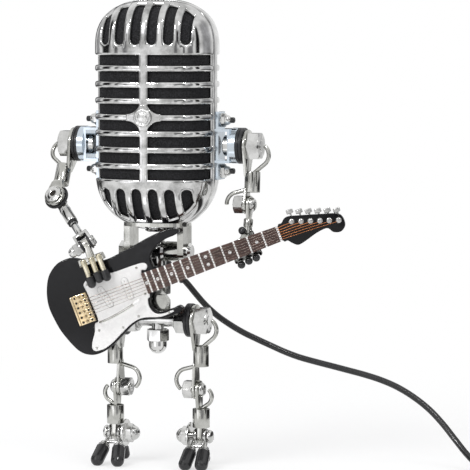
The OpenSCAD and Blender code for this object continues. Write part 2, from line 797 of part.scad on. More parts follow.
module shin(side) {
    off = barrel_off;
    len = shin_len - shin_drop - ankle_lift;
    color(steel) at_leg(side, knee_z) {
        link_top(shin_drop);
        translate([off, 0, 0]) wire_bow(shin_bow, shin_bow_r, -55, asin(-shin_bow[1] / shin_bow_r), 6.8);
        translate([off, 0, -shin_drop]) barrel(shin_d, len);
        translate([off, 0, -shin_len]) difference() {
            union() {
                rotate([0, 90, 0]) translate([0, 0, -tab_half]) cylinder(r = tab_r, h = 2 * tab_half);
                translate([-tab_half, -2.2, 0]) cube([2 * tab_half, 4.4, ankle_lift + mouth_depth + 0.5]);
            }
            rotate([0, 90, 0]) translate([0, 0, -5]) cylinder(d = small_bolt_d + 0.04, h = 10);
        }
    }
}

// Ankle bolt with its rubber washer's seat and acorn nut on the inner side
module ankle_bolt(side) {
    off = barrel_off;
    rods = foot_half + toe_root_out + toe_rod_d / 2;
    inner = off - max(rods + toe_splay, shin_d / 2) - gap;
    outer = off + rods + gap;
    color(chrome) at_leg(side, ankle_z) {
        translate([inner - 6, 0, 0]) rotate([0, 90, 0])
            cylinder(d = small_bolt_d, h = outer - inner + 6.5);
        translate([inner, 0, 0]) rotate([0, -90, 0]) cylinder(d = ankle_washer_d, h = ankle_washer_t);
        translate([inner - ankle_washer_t + 0.1, 0, 0]) rotate([0, -90, 0]) rotate([0, 0, 30])
            acorn_nut(small_nut_af, 3.4, 3.5, 6.6, 0);
        translate([outer, 0, 0]) rotate([0, 90, 0]) rotate_extrude() polygon([
            [0, 0], [3.2, 0], [3.2, 0.7], [2, 1.8], [0, 1.8]
        ]);
    }
}

// Centre of a toe cap's round tip and of the heel cap's, in the ankle's frame
function toe_tip(side, i) = [barrel_off + toe_x[side][i], -toe_reach, cap_d / 2 - sole_flat - ankle_z];
function heel_tip() = [barrel_off - 1.2, heel_reach, heel_d / 2 - sole_flat - ankle_z];
function toe_root(i) = [barrel_off + (i == 0 ? -1 : 1) * (foot_half + toe_root_out), -2, -2.2];
function heel_root(i) = [barrel_off + (i == 0 ? -1 : 1) * foot_half, 2, -2.2];
function heel_top() = heel_tip() + unit([0, -0.45, 1]) * (heel_len - heel_d / 2 + 0.6);

// Rod of diameter d between two points
module rod(a, b, d) {
    v = b - a;
    translate(a) rotate([0, acos(v[2] / norm(v)), atan2(v[1], v[0])]) cylinder(d = d, h = norm(v));
}

module foot(side) {
    color(chrome) at_leg(side, ankle_z) {
        for (i = [0, 1]) {
            tip = toe_tip(side, i);
            root = toe_root(i);
            dir = unit(tip - root);
            top = tip - dir * (cap_len - cap_d / 2);
            translate([heel_root(i)[0], 0, 0]) rotate([0, 90, 0]) rotate_extrude()
                translate([ring_r, 0]) circle(d = ring_wire, $fn = 24);
            rod(root, tip, toe_rod_d);
            rod(top - dir * 1.3, top - dir * 0.03, cap_d - 1.4);
            rod(heel_root(i), heel_top(), toe_rod_d - 0.2);
        }
        rod(toe_root(0) + [0, -2.4, -2], toe_root(1) + [0, -2.4, -2], 1.6);
        rod(heel_top(), heel_tip(), toe_rod_d);
        translate(heel_top()) sphere(d = toe_rod_d);
    }
}

// Half profile of a round-tipped cap of diameter d and length len, tip at z = 0
function bullet(d, len) = concat(
    [for (a = [0 : 15 : 90]) [d / 2 * sin(a), d / 2 * (1 - cos(a))]],
    [[d / 2, len - 0.4], [d / 2 - 0.4, len], [0, len]]
);

// Soft cap with a round tip centred on b, a blind bore for its rod, and a flat where it stands
module cap(a, b, d, len) {
    dir = unit(b - a);
    difference() {
        translate(b + dir * d / 2) multmatrix(aim(-dir)) rotate_extrude() polygon(bullet(d, len));
        rod(b - dir * len, b + dir * 0.1, toe_rod_d + 0.06);
        translate([-20, -40, -ankle_z - 20]) cube([60, 80, 20]);
    }
}

module toe_caps(side) {
    color(rubber) at_leg(side, ankle_z) {
        for (i = [0, 1]) cap(toe_root(i), toe_tip(side, i), cap_d, cap_len);
        cap(heel_top(), heel_tip(), heel_d, heel_len);
    }
}

// Places a child in the guitar's frame
module on_guitar_frame() {
    multmatrix(frame(guitar_at, gu, gv, gn)) children();
}

// Solid body with rounded edges and a pocket for the neck's heel
module guitar_body() {
    outline = smooth(body_points, 3);
    edge = [[0, 0.5], [0.25, 0.18], [0.7, 0]];
    highs = [for (e = edge) [-e[0], e[1]]];
    lows = [for (i = [len(edge) - 1 : -1 : 0]) [-body_t + edge[i][0], edge[i][1]]];
    color(black) on_guitar_frame() difference() {
        loft([for (s = concat(highs, lows)) [for (p = inset(outline, s[1])) [p[0], p[1], s[0]]]]);
        neck_pocket();
    }
}

// Room for the neck's heel, in the body and in the pickguard
module neck_pocket() {
    translate([-pocket_play, -board_w / 2 + 0.4, -neck_back - pocket_play])
        cube([20, board_w - 0.8, 10]);
}

module pickguard() {
    color(ivory) on_guitar_frame() difference() {
        translate([0, 0, 0.03]) linear_extrude(guard_t) polygon(smooth(guard_points, 2));
        neck_pocket();
    }
}

// Half-round neck with its heel in the body
module guitar_neck() {
    heel_w = board_w - 0.9;
    color(rosewood) on_guitar_frame() {
        translate([0, -heel_w / 2, -neck_back]) cube([heel_u, heel_w, neck_back + neck_front]);
        translate([heel_u - 0.1, 0, neck_front]) hull() {
            intersection() {
                rotate([0, 90, 0]) scale([0.75, 1, 1]) cylinder(d = board_w - 0.5, h = 0.5, $fn = 28);
                translate([-1, -10, -10]) cube([5, 20, 10]);
            }
            translate([nut_u - heel_u - 0.42, 0, 0]) intersection() {
                rotate([0, 90, 0]) scale([0.9, 1, 1]) cylinder(d = nut_w - 0.2, h = 0.5, $fn = 28);
                translate([-1, -10, -10]) cube([5, 20, 10]);
            }
        }
    }
}

// Flat headstock past the nut, notched for the tuners' shafts
module headstock() {
    color(black) on_guitar_frame() difference() {
        translate([nut_u, 0, -neck_back + 0.4]) linear_extrude(neck_back + 0.3)
            polygon(smooth(head_points, 2));
        for (i = [0 : 5]) tuner_shaft(i, 0.03);
        translate([nut_u - 4.98, -10, -5]) cube([5, 20, 10]);
    }
}

module fretboard() {
    color(rosewood) on_guitar_frame() translate([0, 0, neck_front + 0.02])
        linear_extrude(board_t) polygon([
            [0, -board_w / 2], [board_len, -nut_w / 2], [board_len, nut_w / 2], [0, board_w / 2]
        ]);
}

// Distance of fret i from the nut; each space is a fixed share of the one before
fret_ratio = 0.92;
fret_first = board_len * 0.117;
function fret_at(i) = fret_first * (1 - pow(fret_ratio, i)) / (1 - fret_ratio);

module frets() {
    color(ivory) on_guitar_frame() for (i = [0 : frets_n]) {
        u = nut_u - fret_at(i);
        w = nut_w + (board_w - nut_w) * (nut_u - u) / board_len;
        translate([u - (i == 0 ? 1.1 : 0.35), -w / 2, board_top + 0.04])
            cube([i == 0 ? 1.1 : 0.7, w, fret_proud]);
    }
}

// String i of six: its v at the bridge and at the nut
function string_v(i, w) = (2.5 - i) * w / 6;

module strings() {
    color(steel) on_guitar_frame() for (i = [0 : 5]) {
        a = [bridge_u[1] + 0.06, string_v(i, string_spread) - 1, string_n];
        b = [nut_u + 0.2, string_v(i, nut_w - 0.6), string_n];
        c = [post_u(i) - 1.4, post_v(i) - 0.2, 2.1];
        rod(a, b + unit(b - a) * 0.3, string_d);
        rod(b, c, string_d - 0.02);
    }
}

// Bridge plate with rows of saddles
module bridge() {
    plate_u = bridge_u[1] - bridge_u[0];
    plate_v = bridge_v[1] - bridge_v[0];
    step_v = plate_v / 6;
    color(gold) on_guitar_frame() translate([bridge_u[0], bridge_v[0], 0.04]) {
        cube([plate_u, plate_v, 1]);
        for (i = [0 : 5]) {
            translate([2.2, (i + 0.12) * step_v, 0.9]) cube([2.4, step_v * 0.76, 1]);
            translate([plate_u - 3, (i + 0.12) * step_v, 0.9]) cube([3, step_v * 0.76, 1.7]);
        }
    }
}

// Place of tuner post i along the top of the headstock
function post_u(i) = nut_u + tuner_first + i * tuner_step;
function post_v(i) = 3.3 - i * 1.4;

// Shaft of tuner i where it enters the headstock's edge, grown by play
module tuner_shaft(i, play) {
    translate([post_u(i) + 0.1 - play, post_v(i) + tuner_edge_v - 0.1 - play, -1.4 - play])
        cube([1 + 2 * play, 1.2 + 2 * play, 1 + 2 * play]);
}

module tuners() {
    color(steel) on_guitar_frame() for (i = [0 : 5]) {
        tuner_shaft(i, 0);
        translate([post_u(i), post_v(i), 0.74]) cylinder(d = 1.7, h = 1.8);
        translate([post_u(i), post_v(i), 0.74]) cylinder(d = 2.6, h = 0.4);
        translate([post_u(i) - 1.1, post_v(i) + tuner_edge_v + 1, -1.9]) cube([3.4, 2, 2]);
    }
}

// Bent arm: a stem in the bridge's side, a long bow over the face and a thicker tip
module tremolo_arm() {
    path = open_curve(arm_points, 2);
    last = len(path) - 1;
    color(ivory) on_guitar_frame() loft([
        for (i = [0 : last])
            tube_ring(path[i], unit(path[min(i + 1, last)] - path[max(i - 1, 0)]),
                i > last - 3 ? 0.8 : 0.5, 10, [0, 1, 0])
    ]);
}

// Strip from the column to the guitar's back, with its hex bolt
module guitar_bracket() {
    face = on_guitar([0, 0, -body_t]);
    strip_y = face[1] + (4 - face[0]) * -gn[0] / gn[1] + 0.3;
    bolt = [5.4, strip_y, hip_z + 9.4];
    color(steel) {
        difference() {
            union() {
                translate([-5, -4, hip_z + 12]) cube([10, 8, 7]);
                translate([-4, strip_y, hip_z + 12.5]) cube([8, -strip_y - 3, 6]);
                // pad flat on the guitar's back
                on_guitar_frame() translate([-3.6, -5.6, -body_t - 2.25]) cube([8, 7, 2.2]);
            }
            translate([0, 0, hip_z + 10]) cylinder(d = column_d + 0.04, h = 12);
        }
        translate([0, strip_y, 0]) hull() {
            translate([0, 0, hip_z + 15.5]) rotate([-90, 0, 0]) cylinder(r = 3, h = 1.6, $fn = 32);
            translate([bolt[0], 0, bolt[2]]) rotate([-90, 0, 0]) cylinder(r = 3.2, h = 1.6, $fn = 32);
        }
        translate([bolt[0], strip_y + 0.1, bolt[2]]) rotate([90, 0, 0])
            cylinder(d = 6.4 / cos(30), h = 2.6, $fn = 6);
    }
}

// Unit direction of the cord where it leaves the column
cord_dir = unit(cord_points[1] - cord_points[0]);

// Tapered strain relief on the back of the column
module cord_gland() {
    color(rubber) difference() {
        union() {
            translate(cord_points[0]) multmatrix(aim(cord_dir)) translate([0, 0, -4.4])
                cylinder(d1 = relief_d + 1.6, d2 = relief_d, h = 4);
            translate(cord_points[0]) multmatrix(aim(cord_dir)) translate([0, 0, -0.5])
                cylinder(d1 = relief_d, d2 = cord_d + 1.9, h = relief_len);
        }
        translate([0, 0, pivot_z - 30]) cylinder(d = column_d + 0.04, h = 60);
        translate([0, 0, column_top - collar_h - 0.02]) cylinder(d = collar_d + 0.04, h = collar_h + 0.04);
        translate(cord_points[0]) multmatrix(aim(cord_dir))
            cylinder(d1 = cord_d + 0.1, d2 = cord_d + 1, h = relief_len);
    }
}

// Matrix that turns +Z to the unit vector d
function aim(d) = let (s = unit(cross(d, [0, 0, 1])), t = cross(d, s)) frame([0, 0, 0], s, t, d);

// Open smooth curve through p, with k points for each stretch
function open_curve(p, k) = concat(
    [for (i = [0 : len(p) - 2], j = [0 : k - 1])
        let (t = j / k, a = p[max(i - 1, 0)], b = p[i], c = p[i + 1], d = p[min(i + 2, len(p) - 1)])
        0.5 * (2 * b + (c - a) * t + (2 * a - 5 * b + 4 * c - d) * t * t
            + (3 * b - a - 3 * c + d) * t * t * t)],
    [p[len(p) - 1]]
);

// Ring of points round p, square to the unit vector d
function tube_ring(p, d, r, sides, up = [0, 0, 1]) = let (s = unit(cross(d, up)), t = cross(d, s))
    [for (i = [0 : sides - 1]) p + r * (cos(360 * i / sides) * s + sin(360 * i / sides) * t)];

// Round tube of diameter dia swept along the points p
module swept_tube(p, dia, sides) {
    last = len(p) - 1;
    loft([for (i = [0 : last])
        tube_ring(p[i], unit(p[min(i + 1, last)] - p[max(i - 1, 0)]), dia / 2, sides)]);
}

module power_cord() {
    color(rubber) swept_tube(open_curve(cord_points, 2), cord_d, 8);
}

module cord_coil() {
    color(rubber) translate(cord_coil_at) rotate_extrude() polygon([
        [coil_in_r + 1, 0], [coil_out_r - 1, 0], [coil_out_r, 1.5], [coil_out_r, coil_h - 3],
        [coil_out_r - 2.4, coil_h], [coil_in_r + 2.4, coil_h], [coil_in_r, coil_h - 3],
        [coil_in_r, 1.5]
    ]);
}

// Plug lying beside the coil: moulded grip and metal shell
module usb_plug() {
    lead = [[-3.5, -coil_out_r, 3.35 * cord_d], [6, -coil_out_r - 1.9, 2.7 * cord_d],
        [23, -coil_out_r - 2.6, 3.6]];
    grip_x = lead[2][0] - 0.6;
    color(rubber) translate(cord_coil_at) {
        rod(lead[0], lead[1] + unit(lead[1] - lead[0]) * 0.4, cord_d);
        rod(lead[1], lead[2], cord_d - 0.02);
        translate([grip_x, lead[2][1], lead[2][2]]) {
            rotate([0, 90, 0]) cylinder(d1 = cord_d + 0.8, d2 = 5.6, h = 7);
            translate([6, -5.5, -lead[2][2]]) cube([20, 11, 7.2]);
            translate([26 - eps, -6, -2.3]) cube([12, 12, 4.5]);
        }
    }
}

// Strumming arm: directions of the upper arm, the elbow axis and the forearm
shoulder_r = [-shoulder_x, shoulder_back, shoulder_z];
arm_r_dir = [0, -sin(arm_r_swing), -cos(arm_r_swing)];
elbow_r = shoulder_r + [-barrel_off, 0, 0] + arm_r_len * arm_r_dir;
wrist_r = on_guitar(wrist_uvn);
forearm_r = wrist_r - elbow_r;
forearm_dir = unit(forearm_r);
elbow_axis = unit(cross(arm_r_dir, forearm_dir));
wrist_axis = unit(gu - (gu * forearm_dir) * forearm_dir);
lug_t = 2;
lug_r = 5.1;
elbow_eye_t = 2;
elbow_washer_t = 1.2;
elbow_washer_r = 6;
elbow_bolt_d = 3;
lug_n = elbow_eye_t / 2 + 0.1 + elbow_washer_t + 0.1;

// Frame at the elbow: z along the upper arm, y along the elbow axis
module at_elbow_r() {
    multmatrix(frame(elbow_r, cross(elbow_axis, arm_r_dir), elbow_axis, arm_r_dir)) children();
}

// Frame at the elbow: z along the forearm, y along the elbow axis
module at_forearm_r() {
    multmatrix(frame(elbow_r, cross(elbow_axis, forearm_dir), elbow_axis, forearm_dir)) children();
}

// Frame at the wrist: z along the forearm, x along the wrist axis
module at_wrist_r() {
    multmatrix(frame(wrist_r, wrist_axis, cross(forearm_dir, wrist_axis), forearm_dir)) children();
}

module upper_arm_right() {
    reach = arm_r_len - clevis_drop - barrel_len;
    color(steel) {
        translate(shoulder_r) rotate([-arm_r_swing, 0, 0]) mirror([1, 0, 0]) clevis();
        at_elbow_r() difference() {
            hull() {
                translate([0, lug_n, 0]) rotate([-90, 0, 0]) cylinder(r = lug_r, h = lug_t, $fn = 32);
                translate([-2.8, -0.4, -reach - 0.8]) cube([5.6, 4, 1.6]);
            }
            translate([0, -8, 0]) rotate([-90, 0, 0]) cylinder(d = elbow_bolt_d + 2 * bolt_play, h = 20);
            translate([-10, -10, -elbow_washer_r - 0.5]) cube([20, 10 + lug_n, 20]);
        }
    }
}

// Button-head screw with its nut behind
module elbow_bolt_right() {
    front = lug_n + lug_t + 0.1;
    back = -elbow_eye_t / 2 - 0.02;
    color(chrome) at_elbow_r() {
        translate([0, back - 3.4, 0]) rotate([-90, 0, 0]) cylinder(d = elbow_bolt_d, h = front - back + 3.6);
        translate([0, front, 0]) rotate([-90, 0, 0]) difference() {
            rotate_extrude() polygon([[0, 0], [4, 0], [4, 0.5], [3, 1.5], [1.6, 1.9], [0, 1.9]]);
            translate([0, 0, 0.9]) cylinder(d = 2.4, h = 2, $fn = 6);
        }
        translate([0, back, 0]) rotate([90, 0, 0]) cylinder(d = 5.5 / cos(30), h = 3, $fn = 6);
    }
}

module elbow_washer_right() {
    color(rubber) at_elbow_r() translate([0, elbow_eye_t / 2 + 0.02, 0]) rotate([-90, 0, 0])
        rubber_washer(2 * elbow_washer_r, elbow_bolt_d + 0.1, elbow_washer_t);
}

module forearm_right() {
    len = norm(forearm_r);
    fork = fork_tab_t / 2 + fork_washer_t + 0.15;
    color(chrome) {
        at_forearm_r() {
            difference() {
                union() {
                    rotate([90, 0, 0]) translate([0, 0, -elbow_eye_t / 2])
                        cylinder(r = 4.6, h = elbow_eye_t);
                    translate([-2.4, -elbow_eye_t / 2, 0]) cube([4.8, elbow_eye_t, 9]);
                }
                rotate([90, 0, 0]) translate([0, 0, -8])
                    cylinder(d = elbow_bolt_d + 0.04, h = 16);
            }
            translate([0, 0, 7.4]) cylinder(d = 5.4, h = 9);
            translate([0, 0, 16.3]) cylinder(d = 4.2, h = 1.6);
            translate([0, 0, 17.8]) cylinder(d = 3.4, h = len - 17.8 - 5.4);
        }
        at_wrist_r() difference() {
            union() {
                translate([-fork - fork_plate_t, -2, -6.6])
                    cube([2 * (fork + fork_plate_t), 4, 1.8]);
                for (side = [0, 1])
                    mirror([side, 0, 0]) {
                        translate([fork, 0, 0]) rotate([0, 90, 0])
                            cylinder(r = wrist_eye_r, h = fork_plate_t);
                        translate([fork, -2, -6.6]) cube([fork_plate_t, 4, 6.6]);
                    }
            }
            translate([-10, 0, 0]) rotate([0, 90, 0]) cylinder(d = wrist_bolt_d + 0.04, h = 20);
        }
    }
}

module wrist_bolt_right() {
    fork = fork_tab_t / 2 + fork_washer_t + 0.15 + fork_plate_t + 0.02;
    color(chrome) at_wrist_r() {
        translate([-fork - 3, 0, 0]) rotate([0, 90, 0]) cylinder(d = wrist_bolt_d, h = 2 * fork + 3.4);
        translate([fork, 0, 0]) rotate([0, 90, 0]) cylinder(r = 2.4, h = 1.2);
        translate([-fork, 0, 0]) rotate([0, -90, 0]) acorn_nut(m3_af, 2.4, 2.4, 5.6, 0);
    }
}

module wrist_washers_right() {
    color(rubber) at_wrist_r() for (side = [0, 1])
        mirror([side, 0, 0]) translate([fork_tab_t / 2 + 0.12, 0, 0]) rotate([0, 90, 0])
            rubber_washer(2 * wrist_eye_r + 0.8, wrist_bolt_d + 0.1, fork_washer_t);
}

// Palm bar with a tab on the wrist bolt and three fingers along the strings' face
module hand_right() {
    color(gold) {
        difference() {
            hull() {
                at_wrist_r() translate([-fork_tab_t / 2, 0, 0]) rotate([0, 90, 0])
                    cylinder(r = wrist_eye_r - 0.3, h = fork_tab_t, $fn = 32);
                on_guitar_frame() translate([wrist_uvn[0] - 1.8, palm_v[1] - 1, palm_n[0] + 0.6])
                    cube([3.6, 1, palm_n[1] - palm_n[0] - 1.2]);
            }
            at_wrist_r() translate([-10, 0, 0]) rotate([0, 90, 0])
                cylinder(d = wrist_bolt_d + 2 * bolt_play, h = 20);
            at_wrist_r() for (side = [0, 1])
                mirror([side, 0, 0]) translate([fork_tab_t / 2, 0, 0]) rotate([0, 90, 0])
                    cylinder(r = wrist_eye_r + 0.8, h = 6);
        }
        on_guitar_frame() {
            translate([palm_u[0], palm_v[0], palm_n[0]])
                cube([palm_u[1] - palm_u[0], palm_v[1] - palm_v[0], palm_n[1] - palm_n[0]]);
            for (i = [0 : 2])
                rod([finger_u[i], palm_v[0] + 0.5, finger_n], [finger_u[i], tip_v[i] + 1, finger_n],
                    finger_d);
        }
    }
}

module fingertips_right() {
    color(rubber) on_guitar_frame() for (i = [0 : 2]) difference() {
        translate([finger_u[i], tip_v[i] - fingertip_d / 2, finger_n]) rotate([-90, 0, 0])
            rotate_extrude() polygon(bullet(fingertip_d, 5.6));
        rod([finger_u[i], tip_v[i] + 9, finger_n], [finger_u[i], tip_v[i] + 0.9, finger_n],
            finger_d + 0.06);
    }
}

// Fretting arm: elbow straight below the shoulder, palm behind the neck
shoulder_l = [shoulder_x, shoulder_back, shoulder_z];
arm_l_swing = 5;
elbow_l = shoulder_l + arm_l_len * [0, -sin(arm_l_swing), -cos(arm_l_swing)];
neck_half = (board_w + (nut_w - board_w) * grip_u / board_len) / 2;
palm_top = on_guitar([grip_u + 3.4, neck_half + 1, -neck_back - grip_gap - palm_t / 2]);

module upper_arm_left() {
    color(steel) translate(shoulder_l) rotate([-arm_l_swing, 0, 0]) {
        clevis();
        translate([0, 0, -arm_l_len]) link_end(arm_l_len - clevis_drop - barrel_len, 1.3);
    }
}

module elbow_bolt_left() {
    color(chrome) translate(elbow_l) small_bolt();
}

module forearm_left() {
    eye = elbow_l + [barrel_off + inner_link + link_t / 2, 0, 0];
    back = -neck_back - grip_gap - palm_t;
    thumb_v = neck_half + ball_d / 2 + thumb_lift;
    finger_v = -neck_half - ball_d / 2 - finger_drop;
    hang = unit([0, palm_top[1] - eye[1], palm_top[2] - eye[2]]);
    top = eye + hang * (link_r + 2.2);
    color(steel) {
        // eye tab that hangs clear of the upper link, then the round forearm
        difference() {
            hull() for (at = [[eye, link_r - 0.4], [top + hang * 0.8, 1.8]])
                translate(at[0] - [link_t / 2, 0, 0]) rotate([0, 90, 0])
                    cylinder(r = at[1], h = link_t, $fn = 28);
            translate(eye - [5, 0, 0]) rotate([0, 90, 0]) cylinder(d = small_bolt_d + 0.04, h = 10);
        }
        rod(top, palm_top, forearm_d);
        on_guitar_frame() {
            // palm behind the neck
            translate([grip_u - 6, finger_v + 1, back]) cube([12, thumb_v - finger_v - 2, palm_t]);
            // thumb above, fingers below
            rod([grip_u + thumb_u, thumb_v, back + palm_t / 2], [grip_u + thumb_u, thumb_v, ball_n],
                finger_d - 0.6);
            translate([grip_u + thumb_u - 1.4, thumb_v - 2, back]) cube([2.8, 3, palm_t]);
            for (f = grip_fingers) {
                rod([grip_u + f[0], finger_v - f[1], back + palm_t / 2],
                    [grip_u + f[0], finger_v - f[1], ball_n], finger_d - 0.6);
                translate([grip_u + f[0] - 1.4, finger_v - f[1] - 1, back]) cube([2.8, 3, palm_t]);
            }
        }
    }
}

module fingertips_left() {
    thumb_v = neck_half + ball_d / 2 + thumb_lift;
    finger_v = -neck_half - ball_d / 2 - finger_drop;
    spots = concat([[thumb_u, thumb_v]], [for (f = grip_fingers) [f[0], finger_v - f[1]]]);
    color(rubber) on_guitar_frame() for (s = spots) difference() {
        translate([grip_u + s[0], s[1], ball_n]) sphere(d = ball_d);
        translate([grip_u + s[0], s[1], ball_n - 10]) cylinder(d = finger_d - 0.54, h = 10.05);
    }
}

module place() {
    translate(box_shift) children();
}

place() {
    front_shell();
    rear_shell();
    rim_band();
    grille_liner();
    centre_badge();
    led_lamp();
    head_base();
    bracket(-1);  // bracket_right
    bracket(1);  // bracket_left
    bracket_nuts();
    shoulder_bolts();
    shoulder_washers();
    neck_bolt();
    neck_spacer();
    torso_knuckle();
    torso_column();
    pelvis_tube();
    hip_couplings();
    hip_washers();
    hip_bolts();
    crotch_nut();
    guitar_body();
    pickguard();
    guitar_neck();
    headstock();
    fretboard();
    frets();
    bridge();
    tuners();
    strings();
    tremolo_arm();
    guitar_bracket();
    cord_gland();
    power_cord();
    cord_coil();
    usb_plug();
    upper_arm_right();
    elbow_bolt_right();
    elbow_washer_right();
    forearm_right();
    wrist_bolt_right();
    wrist_washers_right();
    hand_right();
    fingertips_right();
    upper_arm_left();
    elbow_bolt_left();
    forearm_left();
    fingertips_left();
    thigh(0);  // thigh_right
    thigh(1);  // thigh_left
    knee_bolt(0);  // knee_bolt_right
    knee_bolt(1);  // knee_bolt_left
    shin(0);  // shin_right
    shin(1);  // shin_left
    ankle_bolt(0);  // ankle_bolt_right
    ankle_bolt(1);  // ankle_bolt_left
    foot(0);  // foot_right
    foot(1);  // foot_left
    toe_caps(0);  // toe_caps_right
    toe_caps(1);  // toe_caps_left
}
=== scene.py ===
"""Looks of the robot desk lamp. Lengths are millimetres, from the body's axis or in a piece's own frame."""
import math
from itertools import accumulate

import bmesh
import bpy
from mathutils import Matrix, Vector
from mathutils.kdtree import KDTree


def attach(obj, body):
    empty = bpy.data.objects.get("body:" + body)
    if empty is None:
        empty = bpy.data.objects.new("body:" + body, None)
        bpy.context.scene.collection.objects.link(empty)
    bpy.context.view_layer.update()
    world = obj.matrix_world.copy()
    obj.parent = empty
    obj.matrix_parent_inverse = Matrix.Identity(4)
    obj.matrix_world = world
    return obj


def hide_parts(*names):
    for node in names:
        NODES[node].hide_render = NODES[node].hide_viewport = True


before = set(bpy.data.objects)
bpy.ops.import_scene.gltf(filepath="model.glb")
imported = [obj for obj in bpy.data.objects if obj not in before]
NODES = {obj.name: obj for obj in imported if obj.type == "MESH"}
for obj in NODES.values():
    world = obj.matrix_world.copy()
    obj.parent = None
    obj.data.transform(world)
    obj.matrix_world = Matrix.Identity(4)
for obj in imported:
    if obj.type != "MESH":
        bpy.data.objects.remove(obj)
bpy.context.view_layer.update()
MM = 0.001
AXIS = Vector((-18.45, 5.18, 0.0))
SCENE = bpy.context.scene


def at(x, y, z):
    """A point given in millimetres from the body's axis, in the row frame."""
    return (Vector((x, y, z)) + AXIS) * MM


def moved(x, y, z=0):
    return Matrix.Translation((x, y, z))


def spun(axis, degrees):
    return Matrix.Rotation(math.radians(degrees), 4, axis)


def polar(azimuth, elevation, distance):
    """A point seen from the origin under two angles in degrees, with azimuth 0 in front."""
    a, e = math.radians(azimuth), math.radians(elevation)
    return Vector((math.sin(a) * math.cos(e), -math.cos(a) * math.cos(e), math.sin(e))) * distance


def placed(name, data):
    """A new object in the scene."""
    obj = bpy.data.objects.new(name, data)
    SCENE.collection.objects.link(obj)
    return obj


# ---------------------------------------------------------------- camera
AZIMUTH, ELEVATION, DISTANCE, HALF_VIEW = 18, 4.6, 1250.0, 111.6
AIM_ACROSS, AIM_Z = 36.7, 109.6
aim = AXIS + polar(AZIMUTH + 90, 0, AIM_ACROSS) + Vector((0, 0, AIM_Z))
eye = aim + polar(AZIMUTH, ELEVATION, DISTANCE)
camera = placed("camera", bpy.data.cameras.new("camera"))
camera.data.sensor_width = 36
camera.data.lens = camera.data.sensor_width / 2 * DISTANCE / HALF_VIEW
camera.data.clip_start, camera.data.clip_end = 0.01, 20
camera.location = eye * MM
camera.rotation_euler = (aim - eye).to_track_quat("-Z", "Y").to_euler()
SCENE.camera = camera
SCENE.view_settings.view_transform = "Standard"


# ---------------------------------------------------------------- materials
def adder(tree):
    """A function that adds a shader node to the tree, with its inputs linked or set."""
    def add(kind, inputs=None, **settings):
        node = tree.nodes.new("ShaderNode" + kind)
        for key, value in settings.items():
            setattr(node, key, value)
        set_inputs(tree, node, inputs or {})
        return node

    return add


def set_inputs(tree, node, inputs):
    for key, value in inputs.items():
        if isinstance(value, bpy.types.NodeSocket):
            tree.links.new(value, node.inputs[key])
        else:
            node.inputs[key].default_value = value


def shader(name):
    """A new node material: its tree, its Principled shader and a function that adds nodes."""
    mat = bpy.data.materials.new(name)
    mat.use_nodes = True
    return mat, mat.node_tree, mat.node_tree.nodes["Principled BSDF"], adder(mat.node_tree)


def ramp(add, fac, *stops):
    """A colour ramp through (position, colour or grey) stops."""
    node = add("ValToRGB", {"Fac": fac})
    while len(node.color_ramp.elements) < len(stops):
        node.color_ramp.elements.new(0.5)
    for stop, (place, colour) in zip(node.color_ramp.elements, stops):
        stop.position = place
        stop.color = (colour,) * 3 + (1,) if isinstance(colour, (int, float)) else tuple(colour) + (1,)
    return node.outputs["Color"]


def finish_of(name, colour, dark, rough, metallic=0.0, scale=900.0, bump=0.01, coat=0.0, spread=0.12,
              patches=70.0, specular=0.5):
    """Colour that drifts to `dark`, with uneven roughness and a fine bump, which is given in millimetres."""
    mat, tree, main, add = shader(name)
    place = add("TexCoord").outputs["Object"]
    cloud = add("TexNoise", {"Vector": place, "Scale": patches, "Detail": 6.0, "Roughness": 0.6})
    fine = add("TexNoise", {"Vector": place, "Scale": scale, "Detail": 4.0, "Roughness": 0.55}).outputs["Fac"]
    uneven = add("MapRange", {"Value": fine, "From Min": 0.3, "From Max": 0.7,
                              "To Min": max(rough - spread, 0.02), "To Max": rough + spread})
    lift = add("Bump", {"Height": fine, "Strength": 1.0, "Distance": bump * MM})
    set_inputs(tree, main, {
        "Base Color": ramp(add, cloud.outputs["Fac"], (0.30, dark), (0.62, colour)),
        "Roughness": uneven.outputs["Result"], "Metallic": metallic, "Specular IOR Level": specular,
        "Coat Weight": coat, "Coat Roughness": 0.04, "Normal": lift.outputs["Normal"]})
    return mat


def mesh_cloth(name):
    """Black acoustic mesh: a fine round weave of dark threads over a darker ground."""
    mat, tree, main, add = shader(name)
    place = add("TexCoord").outputs["Object"]
    cells = add("TexVoronoi", {"Vector": place, "Scale": 1900.0}, feature="F1").outputs["Distance"]
    lift = add("Bump", {"Height": cells, "Strength": 1.0, "Distance": 0.25 * MM})
    set_inputs(tree, main, {
        "Base Color": ramp(add, cells, (0.2, 0.002), (0.7, (0.011, 0.011, 0.0135))),
        "Roughness": ramp(add, cells, (0.2, 0.9), (0.7, 0.6)), "Specular IOR Level": 0.3,
        "Normal": lift.outputs["Normal"]})
    return mat


def wood(name, light, dark, rough, coat, slant):
    """Wood with pores and bands that run along the guitar's neck."""
    mat, tree, main, add = shader(name)
    place = add("TexCoord").outputs["Object"]
    grain = add("Mapping", {"Vector": place, "Rotation": slant, "Scale": (60.0, 900.0, 900.0)})
    bands = add("TexNoise", {"Vector": grain.outputs["Vector"], "Scale": 1.0, "Detail": 8.0,
                             "Roughness": 0.65, "Distortion": 0.4}).outputs["Fac"]
    lift = add("Bump", {"Height": bands, "Strength": 0.6, "Distance": 0.12 * MM})
    set_inputs(tree, main, {
        "Base Color": ramp(add, bands, (0.32, dark), (0.66, light)),
        "Roughness": ramp(add, bands, (0.3, rough + 0.15), (0.7, rough)),
        "Coat Weight": coat, "Normal": lift.outputs["Normal"]})
    return mat


